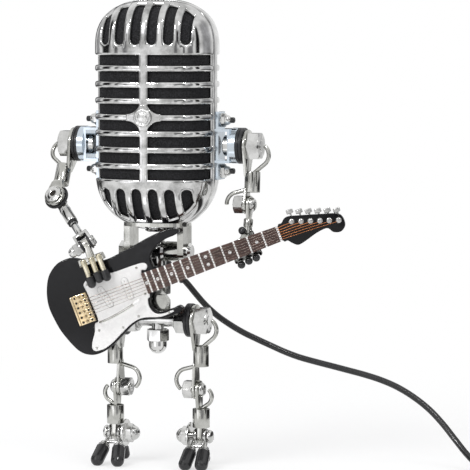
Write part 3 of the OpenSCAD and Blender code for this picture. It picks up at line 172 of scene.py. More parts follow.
CHROME = finish_of("chrome_plate", (0.67, 0.67, 0.665), (0.30, 0.30, 0.295), 0.085, 1.0, 500.0, 0.004,
                   spread=0.03, patches=150.0)
BRIGHT = finish_of("polished_fastener", (0.68, 0.68, 0.67), (0.44, 0.44, 0.43), 0.11, 1.0, 700.0, 0.003,
                   spread=0.04, patches=160.0)
SATIN = finish_of("satin_casting", (0.53, 0.53, 0.505), (0.33, 0.33, 0.305), 0.14, 1.0, 1500.0, 0.002,
                  spread=0.05, patches=130.0)
ZINC = finish_of("blue_zinc", (0.58, 0.66, 0.74), (0.54, 0.57, 0.59), 0.15, 1.0, 600.0, 0.008,
                 spread=0.06, patches=90.0)
RUBBER = finish_of("black_rubber", (0.022, 0.022, 0.024), (0.010, 0.010, 0.011), 0.38, 0.0, 1300.0,
                   specular=0.35)
VINYL = finish_of("glossy_vinyl", (0.024, 0.024, 0.025), (0.014, 0.014, 0.015), 0.11, 0.0, 900.0, 0.002,
                  spread=0.03, specular=0.45, patches=120.0)
CORD = finish_of("cord_jacket", (0.014, 0.014, 0.015), (0.008, 0.008, 0.009), 0.22, 0.0, 1800.0, 0.006)
LACQUER = finish_of("black_lacquer", (0.008, 0.008, 0.009), (0.004, 0.004, 0.005), 0.14, 0.0, 400.0, 0.0015,
                    spread=0.04, patches=30.0, specular=0.22)
IVORY = finish_of("ivory_plastic", (0.82, 0.81, 0.80), (0.75, 0.74, 0.735), 0.24, 0.0, 600.0, 0.003, coat=0.3,
                  patches=50.0)
# grey finish for a ring just outside each pickup cover: painted shade for the gap round it
GAP_SHADE = finish_of("pickup_gap_shade", (0.40, 0.395, 0.39), (0.30, 0.30, 0.295), 0.4, 0.0, 600.0, 0.003)
GOLD = finish_of("gold_plate", (0.76, 0.63, 0.42), (0.56, 0.43, 0.24), 0.20, 1.0, bump=0.008, patches=220.0)
CHAMPAGNE = finish_of("champagne_plate", (0.74, 0.69, 0.55), (0.46, 0.41, 0.28), 0.18, 1.0, bump=0.006,
                      patches=160.0)
PALE = finish_of("pale_silver", (0.66, 0.655, 0.62), (0.46, 0.45, 0.41), 0.16, 1.0, bump=0.006, patches=140.0)
FRET = finish_of("fret_wire", (0.95, 0.94, 0.93), (0.86, 0.85, 0.83), 0.26, 0.25, 1400.0, 0.004)
STRING = finish_of("wound_string", (0.15, 0.125, 0.11), (0.08, 0.066, 0.058), 0.32, 0.9, 2600.0)
BRONZE = finish_of("bronze_string", (0.62, 0.26, 0.11), (0.40, 0.14, 0.06), 0.24, 1.0, 2600.0, 0.006)
# near-black finish for discs and slits set into holes and slots: painted shade standing for the dark inside
# them
RECESS_SHADE = finish_of("painted_recess_shade", (0.020, 0.016, 0.012), (0.008, 0.007, 0.006), 0.5, 0.0, 2000.0, specular=0.2)
NICKEL = finish_of("nickel_wire", (0.78, 0.77, 0.74), (0.60, 0.59, 0.56), 0.22, 1.0, 1400.0, 0.005)
BUTTON = finish_of("pearl_button", (0.55, 0.55, 0.54), (0.36, 0.36, 0.35), 0.20, 0.7, bump=0.004,
                   patches=200.0)
LAMP = finish_of("lamp_diffuser", (0.92, 0.91, 0.86), (0.85, 0.84, 0.79), 0.5)
MESH = mesh_cloth("mesh_black")
ROSEWOOD = wood("rosewood", (0.088, 0.038, 0.028), (0.030, 0.013, 0.010), 0.40, 0.1,
                (0, math.radians(20.8), 0))
BADGE = finish_of("pewter_badge", (0.78, 0.78, 0.77), (0.50, 0.50, 0.50), 0.24, 1.0, patches=500.0)

FINISHES = {
    CHROME: "front_shell rear_shell rim_band torso_knuckle pelvis_tube",
    BRIGHT: "bracket_nuts shoulder_bolts neck_bolt hip_bolts crotch_nut elbow_bolt_right wrist_bolt_right "
            "hip_couplings elbow_bolt_left knee_bolt_right knee_bolt_left ankle_bolt_right ankle_bolt_left "
            "foot_right foot_left",
    SATIN: "upper_arm_right upper_arm_left thigh_right thigh_left shin_right shin_left forearm_left "
           "forearm_right torso_column neck_spacer guitar_bracket tremolo_arm head_base",
    BADGE: "centre_badge",
    ZINC: "bracket_right bracket_left",
    RUBBER: "shoulder_washers hip_washers elbow_washer_right wrist_washers_right cord_gland usb_plug",
    VINYL: "fingertips_right fingertips_left toe_caps_right toe_caps_left",
    CORD: "power_cord cord_coil",
    MESH: "grille_liner",
    LAMP: "led_lamp",
    LACQUER: "guitar_body headstock",
    IVORY: "pickguard",
    ROSEWOOD: "fretboard guitar_neck",
    GOLD: "bridge",
    CHAMPAGNE: "hand_right",
    NICKEL: "frets strings tuners",
}
for finish, names in FINISHES.items():
    for name in names.split():
        NODES[name].data.materials.clear()
        NODES[name].data.materials.append(finish)


# ---------------------------------------------------------------- pieces and solid forms
def piece(name, data, finish, body, *replaced):
    """Links a mesh as a piece that rides on a body and may stand for CAD nodes."""
    obj = placed(name, data)
    data.materials.append(finish)
    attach(obj, body)
    if replaced:
        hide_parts(*replaced)


def finished(mesh, name, angle):
    """The mesh as data, smooth but for edges sharper than the angle."""
    data = bpy.data.meshes.new(name)
    mesh.to_mesh(data)
    mesh.free()
    for face in data.polygons:
        face.use_smooth = True
    data.set_sharp_from_angle(angle=math.radians(angle))
    return data


def oval(n, rx, ry, power=1.0, lead=0.0):
    """n points round an oval, from `lead` steps past x; a power under 1 squares it off."""
    turns = [math.tau * (k + lead) / n for k in range(n)]
    return [(rx * math.copysign(abs(math.cos(a)) ** power, math.cos(a)),
             ry * math.copysign(abs(math.sin(a)) ** power, math.sin(a))) for a in turns]


def rod(r, z0, z1):
    """Profile of a plain cylinder."""
    return [(0, z0), (r, z0), (r, z1), (0, z1)]


class Shape:
    """Gathers solid forms in one mesh, in millimetres from the body's axis."""

    def __init__(self, matrix=None):
        self.mesh = bmesh.new()
        self.matrix = matrix or Matrix()

    def rings(self, rings, caps=True, matrix=None):
        """Joins rings of points in order and closes both ends where caps says so."""
        place = self.matrix @ (matrix or Matrix())
        rows = [[self.mesh.verts.new(place @ Vector(p)) for p in ring] for ring in rings]
        for low, high in zip(rows, rows[1:]):
            for i in range(len(low)):
                j = (i + 1) % len(low)
                self.mesh.faces.new((low[i], low[j], high[j], high[i]))
        if caps:
            self.mesh.faces.new(rows[0][::-1])
            self.mesh.faces.new(rows[-1])

    def lathe(self, profile, matrix=None, n=40):
        """Turns (radius, height) points about z."""
        self.rings([[(x, y, z) for x, y in oval(n, max(r, 0.004), max(r, 0.004))] for r, z in profile],
                   matrix=matrix)

    def hoop(self, profile, matrix=None, n=48):
        """Turns a closed (radius, height) profile about z, which leaves a hole in the middle."""
        self.rings([[(x, y, z) for x, y in oval(n, r, r)] for r, z in profile + profile[:1]], False, matrix)

    def tube(self, points, radius, n=14, matrix=None):
        """A round tube along points, with radius a number or one for each point."""
        pts = [Vector(p) for p in points]
        radii = [radius] * len(pts) if isinstance(radius, (int, float)) else radius
        side, rings = None, []
        for p, before, after, r in zip(pts, pts[:1] + pts, pts[1:] + pts[-1:], radii):
            d = (after - before).normalized()
            side = (side - d * side.dot(d)).normalized() if side else d.orthogonal().normalized()
            rings.append([p + side * c + d.cross(side) * s for c, s in oval(n, r, r)])
        self.rings(rings, matrix=matrix)

    def box(self, low, high, bevel=0.2, segments=3, matrix=None):
        """A box between two corners with rounded edges."""
        low, high = Vector(low), Vector(high)
        place = (self.matrix @ (matrix or Matrix()) @ Matrix.Translation((low + high) / 2)
                 @ Matrix.Diagonal((*(high - low), 1)))
        other = bmesh.new()
        bmesh.ops.create_cube(other, size=1, matrix=place)
        if bevel:
            bmesh.ops.bevel(other, geom=list(other.edges), offset=bevel, segments=segments, profile=0.5,
                            affect="EDGES")
        held = bpy.data.meshes.new("held")
        other.to_mesh(held)
        other.free()
        self.mesh.from_mesh(held)
        bpy.data.meshes.remove(held)

    def nut(self, across, z0, z1, matrix=None, both=False, turn=0.0, n=72):
        """A hex nut with chamfered corners on its far face, or on both."""
        half = across / 2
        full = half / math.cos(math.radians(30))
        cut, middle, face = (full - half) * 0.62, (full + half) / 2, half * 0.985
        levels = [(z0, face), (z0 + cut * 0.5, middle), (z0 + cut, full)] if both else [(z0, full)]
        levels += [(z1 - cut, full), (z1 - cut * 0.5, middle), (z1, face)]
        rings = []
        for z, limit in levels:
            ring = []
            for k in range(n):
                a = math.tau * k / n
                r = min(half / math.cos((a + turn) % (math.pi / 3) - math.pi / 6), limit)
                ring.append((r * math.cos(a), r * math.sin(a), z))
            rings.append(ring)
        rings.append([(0.6 * x, 0.6 * y, z1) for x, y, _ in rings[-1]])
        self.rings(rings, matrix=matrix)

    def thread(self, d, z0, z1, matrix=None, pitch=0.8):
        """A bolt shank with thread ridges and a chamfered end."""
        r, z = d / 2, z0
        profile = [(0, z0), (r * 0.9, z0)]
        while z + pitch < z1 - 0.3:
            profile += [(r * wide, z + pitch * up)
                        for wide, up in ((0.9, 0.1), (1, 0.45), (1, 0.6), (0.9, 0.95))]
            z += pitch
        self.lathe(profile + [(r * 0.94, z1 - 0.3), (r * 0.78, z1), (0, z1)], matrix, 32)

    def plate(self, reach, hole, x0, x1, matrix=None, bevel=0.22, n=120):
        """A flat link round a hole, from x0 to x1; reach(angle) is the distance to its edge."""
        steps = [(hole, x0), (-bevel, x0), (-bevel * 0.3, x0 + bevel * 0.3), (0, x0 + bevel), (0, x1 - bevel),
                 (-bevel * 0.3, x1 - bevel * 0.3), (-bevel, x1), (hole, x1), (hole, x0)]
        edge = [(reach(math.tau * k / n), c, s) for k, (c, s) in enumerate(oval(n, 1, 1))]
        rings = []
        for step, x in steps:
            radii = [step if step > 0 else full + step for full, _, _ in edge]
            rings.append([(x, c * r, s * r) for r, (_, c, s) in zip(radii, edge)])
        self.rings(rings, False, matrix)

    def piece(self, name, finish, body, *replaced, angle=30):
        """Makes the gathered forms a piece, with edges sharper than the angle kept sharp."""
        bmesh.ops.recalc_face_normals(self.mesh, faces=self.mesh.faces)
        self.mesh.transform(Matrix.Scale(MM, 4) @ Matrix.Translation(AXIS))
        piece(name, finished(self.mesh, name, angle), finish, body, *replaced)


def drop_reach(r, half, drop):
    """Edge distance of a plate that is round about its eye and tapers down to a foot of half-width `half`."""
    points = sorted(oval(96, r, r) + [(-half, -drop), (half, -drop)])

    def chain(seq):
        out = []
        for q in seq:
            while len(out) > 1 and ((out[-1][0] - out[-2][0]) * (q[1] - out[-2][1])
                                    - (out[-1][1] - out[-2][1]) * (q[0] - out[-2][0])) <= 0:
                out.pop()
            out.append(q)
        return out[:-1]

    hull = chain(points) + chain(points[::-1])

    def reach(angle):
        dx, dy = math.cos(angle), math.sin(angle)
        for (ax, ay), (bx, by) in zip(hull, hull[1:] + hull[:1]):
            ex, ey = bx - ax, by - ay
            det = dy * ex - dx * ey
            if abs(det) < 1e-9:
                continue
            t = (ay * ex - ax * ey) / det
            u = (dx * ay - dy * ax) / det
            if t > 0 and -1e-6 <= u <= 1 + 1e-6:
                return t
        return r

    return reach


def basis(origin, x, y, z):
    """A frame at origin with the given directions."""
    return Matrix.Translation(Vector(origin)) @ Matrix((x, y, z)).transposed().to_4x4()


def turned(origin, axis):
    """A frame at origin with z along the axis."""
    z = Vector(axis).normalized()
    x = Vector((0, 0, 1)).cross(z)
    x = x.normalized() if x.length > 1e-6 else z.orthogonal().normalized()
    return basis(origin, x, z.cross(x), z)


def spline(points, k, closed=False):
    """Smooth curve through the points, with k points for each stretch."""
    p, n, out = [Vector(q) for q in points], len(points), []
    for i in range(n if closed else n - 1):
        near = [j % n if closed else min(max(j, 0), n - 1) for j in range(i - 1, i + 3)]
        a, b, c, d = (p[j] for j in near)
        for t in (j / k for j in range(k)):
            out.append(0.5 * (2 * b + (c - a) * t + (2 * a - 5 * b + 4 * c - d) * t * t
                              + (3 * b - a - 3 * c + d) * t ** 3))
    return out if closed else out + [p[-1]]


# ---------------------------------------------------------------- cord
CORD_D, CORD_LENGTH = 3.0, 1500.0
COIL_AT, TURN_R, TURNS, LAYERS = Vector((180, 34, 0)), 16.8, 3, 4
STEPS, LAST_STEPS, SHIFT_FROM = 30, 27, 0.66
ROUTE = [
    (1.9, 7.9, 94.4), (4.4, 11, 91.4), (6.9, 14.1, 88.4), (9.4, 17.1, 84.6), (12.4, 20, 79.8),
    (16.2, 23, 74.4), (21, 26, 69.2), (26.6, 28.4, 64.8), (32.6, 30.4, 61), (39, 32, 57.8),
    (46, 33.4, 54.6), (53, 34.4, 51.6), (60, 35.2, 49.2), (68, 36, 47.2), (76, 36.6, 45.4), (84, 37, 43.6),
    (92, 37.2, 41.8), (100, 37.2, 39.6), (108, 37, 36.6), (116, 36.4, 32.4), (124, 35.2, 27),
    (131, 33.4, 20.8), (138, 30.4, 13.8), (144.5, 26.6, 7.8), (151, 22, 3.6), (158, 17.8, 1.8),
    (165, 15, 1.6), (172.5, 14, 1.6), (180, 14.2, 1.6)]
TO_PLUG = [(170.8, 16.1, 10.5), (176.5, 12.7, 10.05)]


def wound():
    """The coil's turns: in and out again, layer on layer, each step taken in the last third of a turn."""
    out = []
    radii = [TURN_R + CORD_D * (1 - i) for i in range(TURNS)]
    for layer in range(LAYERS):
        row = radii[::-1] if layer % 2 else radii
        for i, r in enumerate(row):
            last = i == TURNS - 1
            step = 0 if last else row[i + 1] - r
            rise = CORD_D if last and layer < LAYERS - 1 else 0
            for j in range(LAST_STEPS if last and not rise else STEPS):
                s = max(0, (j / STEPS - SHIFT_FROM) / (1 - SHIFT_FROM))
                s = s * s * (3 - 2 * s)
                a, now = math.tau * j / STEPS - math.pi / 2, r + step * s
                out.append(COIL_AT + Vector((now * math.cos(a), now * math.sin(a),
                                             CORD_D * (layer + 0.52) + rise * s)))
    return out


coil = wound()
cord_path = spline(ROUTE, 6)[:-1] + coil + spline(coil[-2:] + TO_PLUG, 4)[5:]
cord_data = bpy.data.curves.new("power_cord_lead", "CURVE")
cord_data.dimensions = "3D"
cord_data.bevel_depth = CORD_D / 2 * MM
cord_data.bevel_resolution = 6
cord_data.use_fill_caps = True
line = cord_data.splines.new("POLY")
line.points.add(len(cord_path) - 1)
for knot, p in zip(line.points, cord_path):
    knot.co = (*at(*p), 1)
line.use_smooth = True
cord_data.materials.append(CORD)
cord = placed("power_cord_lead", cord_data)
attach(cord, "torso")
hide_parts("power_cord", "cord_coil")


# ---------------------------------------------------------------- microphone head
HEAD_W, HEAD_D, WALL, RIM_HALF, EDGE = 28.8, 20.3, 1.6, 2.2, 1.05
# each end of the head: where it starts, its direction, its height and the power of its curve
DOME, BOWL = (198.2, 1, 22.8, 2.55), (140.7, -1, 28.196, 2.25)
BOWL_CUT_Z, GRID_LOW, GRID_HIGH = 116.0, 135.2, 196.6
# long slots: height of the top one, step, half height and count
ROW_Z, ROW_STEP, ROW_HALF, ROW_COUNT = 192.62, 7.62, 2.3, 8
# upright slots: middles and half width, and where they and the long slots start beside the middle bar
SLOT_X, SLOT_HALF, FIRST_SLOT, FIRST_ROW = (4.05, 12.15, 20.25), 2.25, 1.8, 2.25
# upright slots: height of the end toward the rows, and distance of the far end from the middle plane
DOME_SLOT_Z, DOME_SLOT_Y, BOWL_SLOT_Z, BOWL_SLOT_Y = 200.0, 9.5, 132.1, 12.0
# cells across each span from the middle bar to the rim, and steps of the fine curves they are set out on
COLUMN_CELLS, FINE_STEPS = (2, 5, 2, 5, 2, 5, 9, 2), 160
WELD, SLIVER = 0.004 * MM, 0.003 * MM


def falling(share, power):
    """Height of a superellipse that falls from 1 at share 0 to 0 at share 1."""
    return max(1 - min(share, 1) ** power, 0) ** (1 / power)


def closing(z):
    """How far the section has closed at height z: 1 in the straight part."""
    for start, up, tall, power in (DOME, BOWL):
        if (z - start) * up > 0:
            return falling((z - start) * up / tall, power)
    return 1.0


def plan_share(x, y):
    """1 on the head's outline in plan, less inside it."""
    return ((abs(x) / HEAD_W) ** 3 + (abs(y) / HEAD_D) ** 3) ** (1 / 3)


def depth_at(x, f):
    """Distance in front of the middle plane at x, on the section closed to f."""
    return HEAD_D * f * falling(abs(x) / (HEAD_W * f), 3)


def head_normal(p):
    """Outward direction of the head's surface at p, which has the front at negative y."""
    x, y, z = p
    out = Vector((x * abs(x) / HEAD_W ** 3, y * abs(y) / HEAD_D ** 3, 0))
    for start, up, tall, power in (DOME, BOWL):
        if (z - start) * up > 0:
            out *= max(plan_share(x, y), 1e-4) ** (power - 3)
            out.z = up * ((z - start) * up / tall) ** (power - 1) / tall
    return out.normalized()


def spaced(a, b, near_a, near_b, cells):
    """Values from a up to b, crowded beside the ends that are slot edges."""
    span = b - a
    room = span / 2 if near_a and near_b else span
    fit = [s * min(1, room * 0.9 / EDGE) for s in (0.14, 0.36, 0.66, EDGE)]
    lows = fit if near_a else []
    highs = [span - s for s in reversed(fit)] if near_b else []
    lo, hi = (lows[-1] if lows else 0), (highs[0] if highs else span)
    inner = [lo + (hi - lo) * i / cells for i in range(1, cells)]
    return [a + v for v in [0] + lows + inner + highs]


def lengths_of(points):
    """Length along a polyline at each of its points."""
    return [0.0] + list(accumulate((q - p).length for p, q in zip(points, points[1:])))


def crossing(values, lengths, mark):
    """Length at which the values first reach the mark, or the last length."""
    rising = values[-1] > values[0]
    for i in range(1, len(values)):
        if (values[i] >= mark) if rising else (values[i] <= mark):
            gap = values[i] - values[i - 1]
            t = 1.0 if abs(gap) < 1e-9 else (mark - values[i - 1]) / gap
            return lengths[i - 1] + min(max(t, 0), 1) * (lengths[i] - lengths[i - 1])
    return lengths[-1]


def along(points, wanted):
    """Points on a polyline at the wanted lengths."""
    lengths = lengths_of(points)
    out, i = [], 0
    for want in wanted:
        want = min(max(want, 0), lengths[-1])
        while i < len(lengths) - 2 and lengths[i + 1] < want:
            i += 1
        while i > 0 and lengths[i] > want:
            i -= 1
        span = lengths[i + 1] - lengths[i]
        t = 0 if span <= 1e-9 else (want - lengths[i]) / span
        out.append(points[i].lerp(points[i + 1], min(max(t, 0), 1)))
    return out


def head_stations(f, first_x):
    """One ring's points from the front middle to the rim, and the span between slot edges for each."""
    fine = []
    for i in range(FINE_STEPS + 1):
        phi = math.pi / 2 * (1 - i / FINE_STEPS)
        x = HEAD_W * f * math.cos(phi) ** (2 / 3) if i else 0.0
        fine.append(Vector((x, -depth_at(x, f) if i < 60 else -HEAD_D * f * math.sin(phi) ** (2 / 3), 0)))
    lengths = lengths_of(fine)
    slot_edges = [first_x] + [x + s * SLOT_HALF for x in SLOT_X for s in (-1, 1)][1:]
    knots = [0.0] + [crossing([p.x for p in fine], lengths, x) for x in slot_edges]
    knots += [crossing([p.y for p in fine], lengths, -y) for y in (RIM_HALF + 0.4, RIM_HALF)]
    wanted, spans, last = [], [], len(COLUMN_CELLS) - 1
    for k, cells in enumerate(COLUMN_CELLS):
        values = spaced(knots[k], knots[k + 1], 0 < k < last, k < last, cells)
        wanted += values
        spans += [k] * len(values)
    return along(fine, wanted + knots[-1:]), spans


def end_rows(end, z0, slot_z, slot_y):
    """Rows of points over the dome or the bowl, from z0 to its far edge, and what lies between two rows."""
    start_z, up, tall, power = end
    cut = closing(BOWL_CUT_Z)
    columns = []
    for p in head_stations(closing(z0), FIRST_SLOT)[0]:
        x, stop = p.x, RIM_HALF
        if up < 0 and x < HEAD_W * cut:
            stop = max(RIM_HALF, depth_at(x, cut))
        fine = [Vector((x, p.y, z0))]
        for i in range(1, 121):
            y = (stop + p.y) * (i / 120) ** 2.2 - p.y
            z = start_z + up * tall * falling(plan_share(x, y), power)
            fine.append(Vector((x, -y, up * max(up * z, up * fine[-1].z))))
        lengths = lengths_of(fine)
        total = lengths[-1]
        # the slots' ends are round, so that the first edge lies further out beside a slot's middle
        off = min([abs(x - centre) for centre in SLOT_X if abs(x - centre) < SLOT_HALF] or [SLOT_HALF])
        sag = SLOT_HALF - math.sqrt(SLOT_HALF ** 2 - off ** 2)
        first = min(crossing([q.z for q in fine], lengths, slot_z + up * sag), 0.3 * total)
        second = crossing([q.y for q in fine], lengths, -slot_y)
        second = min(max(second, first + 0.2 * (total - first)), total * 0.96)
        parts = (spaced(0, first, False, True, 3), spaced(first, second, True, True, 16),
                 spaced(second, total, True, False, 5))
        columns.append(along(fine, sum(parts, []) + [total]))
    kinds = [kind for kind, part in zip(("plain", "upright", "plain"), parts) for _ in part]
    return [list(row) for row in zip(*columns)], kinds


def head_grid():
    """Rows of points over the head's front half, low to high, and what lies between rows and columns."""
    lower, lower_kinds = end_rows(BOWL, GRID_LOW, BOWL_SLOT_Z, BOWL_SLOT_Y)
    upper, upper_kinds = end_rows(DOME, GRID_HIGH, DOME_SLOT_Z, DOME_SLOT_Y)
    marks = [(GRID_LOW, "plain")]
    for r in range(ROW_COUNT - 1, -1, -1):
        z = ROW_Z - r * ROW_STEP
        marks += [(z - ROW_HALF, "row"), (z + ROW_HALF, "plain")]
    marks.append((GRID_HIGH, None))
    levels = []
    for (low, kind), (high, _) in zip(marks, marks[1:]):
        near_low, near_high = low > GRID_LOW, high < GRID_HIGH
        cells = 4 if kind == "row" else 1 if near_low and near_high else 3
        levels += [(z, kind) for z in spaced(low, high, near_low, near_high, cells)]
    rows, kinds = lower[::-1], lower_kinds[::-1] + ["plain"]
    for z, kind in levels[1:]:
        blend = min(min(z - GRID_LOW, GRID_HIGH - z) / 1.2, 1)
        ring, spans = head_stations(closing(z), FIRST_SLOT + (FIRST_ROW - FIRST_SLOT) * blend)
        rows.append([Vector((p.x, p.y, z)) for p in ring])
        kinds.append(kind)
    return mirrored(rows + upper), kinds + upper_kinds, spans[::-1] + spans


def mirrored(rows):
    return [[Vector((-p.x, p.y, p.z)) for p in row[:0:-1]] + row for row in rows]


def skins(name, grid, cells, depth, inner, angle):
    """A closed wall over the solid cells, from depth(point) to `inner` below the head's surface."""
    mesh = bmesh.new()
    used = {(j + dj, i + di) for (j, i), solid in cells.items() if solid for dj in (0, 1) for di in (0, 1)}
    faces = [{(j, i): mesh.verts.new(at(*(grid[j][i] - head_normal(grid[j][i]) * sunk(grid[j][i]))))
              for j, i in sorted(used)} for sunk in (depth, lambda p: inner)]
    edges = {}
    for (j, i), solid in cells.items():
        if solid:
            loop = [(j, i), (j, i + 1), (j + 1, i + 1), (j + 1, i)]
            mesh.faces.new([faces[0][k] for k in loop])
            mesh.faces.new([faces[1][k] for k in reversed(loop)])
            edges.update(dict.fromkeys(zip(loop, loop[1:] + loop[:1])))
    for a, b in edges:
        if (b, a) not in edges:
            mesh.faces.new([faces[0][b], faces[0][a], faces[1][a], faces[1][b]])
    bmesh.ops.remove_doubles(mesh, verts=mesh.verts, dist=WELD)
    bmesh.ops.dissolve_degenerate(mesh, edges=mesh.edges, dist=SLIVER)
    return finished(mesh, name, angle)


def casing_mesh(name, grid, kinds, spans):
    """The casing's front half, with its slots cut out and their edges rounded."""
    cells = {}
    for j, kind in enumerate(kinds):
        for i, span in enumerate(spans):
            cells[j, i] = not (kind == "row" and 1 <= span <= 6 or kind == "upright" and span in (1, 3, 5))
    border = set()
    for j in range(len(grid)):
        for i in range(len(grid[0])):
            around = [cells[c] for c in ((j - 1, i - 1), (j - 1, i), (j, i - 1), (j, i)) if c in cells]
            if any(around) and not all(around):
                border.add((j, i))
    samples = []
    for j, i in sorted(border):
        for end, beside in (((j, i + 1), (j - 1, i)), ((j + 1, i), (j, i - 1))):
            if end in border and cells.get((j, i), False) != cells.get(beside, False):
                samples += [grid[j][i].lerp(grid[end[0]][end[1]], t / 5) for t in range(6)]
    tree = KDTree(len(samples))
    for n, p in enumerate(samples):
        tree.insert(p, n)
    tree.balance()

    def rounded(p):
        near = min(tree.find(p)[2], EDGE)
        return EDGE - math.sqrt(max(EDGE ** 2 - (EDGE - near) ** 2, 0))

    return skins(name, grid, cells, rounded, WALL, 52)


def liner_mesh(name, grid, depth, thick, coarse):
    """A closed plain skin behind the casing's front half, on every few points of its grid."""
    half = [row[len(row) // 2:] for row in grid]
    rows = half[:-1:coarse] + half[-1:]
    rows = mirrored([row[:-1:coarse] + row[-1:] for row in rows])
    cells = {(j, i): True for j in range(len(rows) - 1) for i in range(len(rows[0]) - 1)}
    return skins(name, rows, cells, lambda p: depth, depth + thick, 50)


# each half of the casing and of the liner is the other one turned half round
HALF_TURN = Matrix.Translation(AXIS * MM) @ spun("Z", 180) @ Matrix.Translation(-AXIS * MM)
LINER_DEPTH, LINER_T, LINER_EVERY = 1.98, 0.6, 3
head = head_grid()
for word, finish, data, front, rear in (
        ("casing", CHROME, casing_mesh("casing", *head), "front_shell", "rear_shell"),
        ("mesh", MESH, liner_mesh("mesh", head[0], LINER_DEPTH, LINER_T, LINER_EVERY), "grille_liner",
         "grille_liner")):
    rear_data = data.copy()
    rear_data.transform(HALF_TURN)
    piece(f"{word}_front", data, finish, "head", front)
    piece(f"{word}_rear", rear_data, finish, "head", rear)


def rim_path():
    """Points and outward directions round the head's outline, seen from the front."""
    right = []
    for start, up, tall, power in (BOWL, DOME):
        fine = []
        for i in range(241):
            t = math.pi / 2 * i / 240
            x = HEAD_W * math.cos(t) ** (2 / power) if i < 240 else 0.0
            fine.append(Vector((x, 0, start + up * tall * math.sin(t) ** (2 / power))))
        total = lengths_of(fine)[-1]
        right.append(along(fine, [total * k / 36 for k in range(37)]))
    low, high = BOWL[0], DOME[0]
    straight = [Vector((HEAD_W, 0, low + (high - low) * k / 6)) for k in range(1, 6)]
    side = right[0][::-1] + straight + right[1]
    loop = side + [Vector((-p.x, 0, p.z)) for p in side[-2:0:-1]]
    out = []
    for k, p in enumerate(loop):
        d = loop[(k + 1) % len(loop)] - loop[k - 1]
        out.append((p, Vector((d.z, 0, -d.x)).normalized()))
    return out


rim_half = [(-1.5, RIM_HALF), (0.12, RIM_HALF), (0.3, 2.12), (0.4, 1.9), (0.42, 1.0)]
rim_section = rim_half + [(proud, -y) for proud, y in reversed(rim_half)]
rim_rows = [[p + n * proud + Vector((0, y, 0)) for proud, y in rim_section] for p, n in rim_path()]
rim = Shape()
rim.rings(rim_rows + rim_rows[:1], False)
bmesh.ops.remove_doubles(rim.mesh, verts=rim.mesh.verts, dist=0.001)
rim.piece("casing_rim", CHROME, "head", "rim_band")

# star round the badge, flush with the bars, and the bare round badge on it
BADGE_Z = 165.93
STAR_HALF, HOLLOW_AT, HOLLOW_R = (9.0, 6.8), (9.4, 7.8), (7.2 * 1.06, 7.2 * 0.86)


def star_reach(c, s):
    """Distance from the badge's centre to the star's edge, which four ovals hollow out."""
    dx, dz = abs(c), abs(s)
    reach = min(STAR_HALF[0] / max(dx, 1e-6), STAR_HALF[1] / max(dz, 1e-6))
    (ex, ez), (rx, rz) = HOLLOW_AT, HOLLOW_R
    a = (dx / rx) ** 2 + (dz / rz) ** 2
    b = -2 * (dx * ex / rx ** 2 + dz * ez / rz ** 2)
    root = b * b - 4 * a * ((ex / rx) ** 2 + (ez / rz) ** 2 - 1)
    return min(reach, (-b - math.sqrt(root)) / (2 * a)) if root > 0 else reach


star, star_rings = Shape(), []
for back, sunk in ((99, 0), (4.0, 0), (2.2, 0), (1.05, 0), (0.75, 0.05), (0.42, 0.2), (0.16, 0.48), (0, 0.95),
                   (0, 1.5)):
    star_rings.append([])
    for c, s in oval(120, 1, 1, lead=0.5):
        r = max(star_reach(c, s) - back, 0.05 if back < 99 else 0.02)
        star_rings[-1].append((r * c, sunk - 0.05 - depth_at(r * c, 1.0), BADGE_Z + r * s))
star.rings(star_rings)
star.piece("badge_star", CHROME, "head", angle=55)
badge = Shape(turned((0, -20.28, BADGE_Z), (0, -1, 0)))
badge.lathe([(0, 0), (4.3, 0), (4.34, 0.35), (4.3, 0.95), (4.05, 1.35), (3.7, 1.5), (3.35, 1.42), (3.1, 1.12),
             (2.95, 1.02), (2.55, 1.0), (2.4, 1.08), (2.28, 1.3), (2.1, 1.42), (1.6, 1.5), (0.8, 1.57),
             (0, 1.6)], n=64)
badge.piece("badge_disc", BADGE, "head", "centre_badge", angle=60)


# ---------------------------------------------------------------- nuts, bolts, links and feet
GAP, EYE_T, BIG_NUT_T, LINK_X = 0.15, 1.6, 5.7, 3.7
OUTER, INNER, LINK_T, LINK_R = -3.4, -1.75, 1.5, 4.6
ARM_X, ARM_Y, LEG_X = 42.7, 4, 18.0
SHOULDER_Z, HIP_Z, KNEE_Z, ANKLE_Z, ELBOW_DROP = 152.4, 69.5, 36.5, 14.2, 27.6
ALONG_X, ALONG_Y = spun("Y", 90), spun("X", -90)
MIRROR = Matrix.Scale(-1, 4, (1, 0, 0))
SIDES = (("left", Matrix()), ("right", MIRROR))
POINT_UP = math.pi / 6


def on_both_sides(x, y, z):
    """The frame at a point and its mirror image, both with z along x and away from the middle."""
    return [side @ moved(x, y, z) @ ALONG_X for _, side in SIDES]


def acorn(shape, place, across, hex_h, dome_r, top):
    """Acorn nut standing on z = 0."""
    shape.nut(across, 0, hex_h, place)
    knee = max(top - dome_r, hex_h)
    arc = [math.radians(10 * k) for k in range(10)]
    shape.lathe([(0, hex_h - 0.2), (dome_r, hex_h - 0.2)]
                + [(dome_r * math.cos(a), knee + (top - knee) * math.sin(a)) for a in arc], place)


caps, tips = Shape(), Shape()
for rise in (-12, 12):
    for place in on_both_sides(30.7, ARM_Y, SHOULDER_Z + rise):
        caps.lathe([(0, 0), (3.3, 0), (3.35, 0.25), (3.2, 0.42), (0, 0.42)], place)
        acorn(caps, place @ moved(0, 0, 0.3), 5.5, 2.0, 2.4, 4.7)
        tips.lathe([(0, 4.0), (1.36, 4.0), (1.36, 6.0), (1.25, 6.35), (0.95, 6.55), (0, 6.6)], place, 28)
caps.piece("bracket_acorns", BRIGHT, "head", "bracket_nuts")
tips.piece("bracket_tips", VINYL, "head", angle=40)


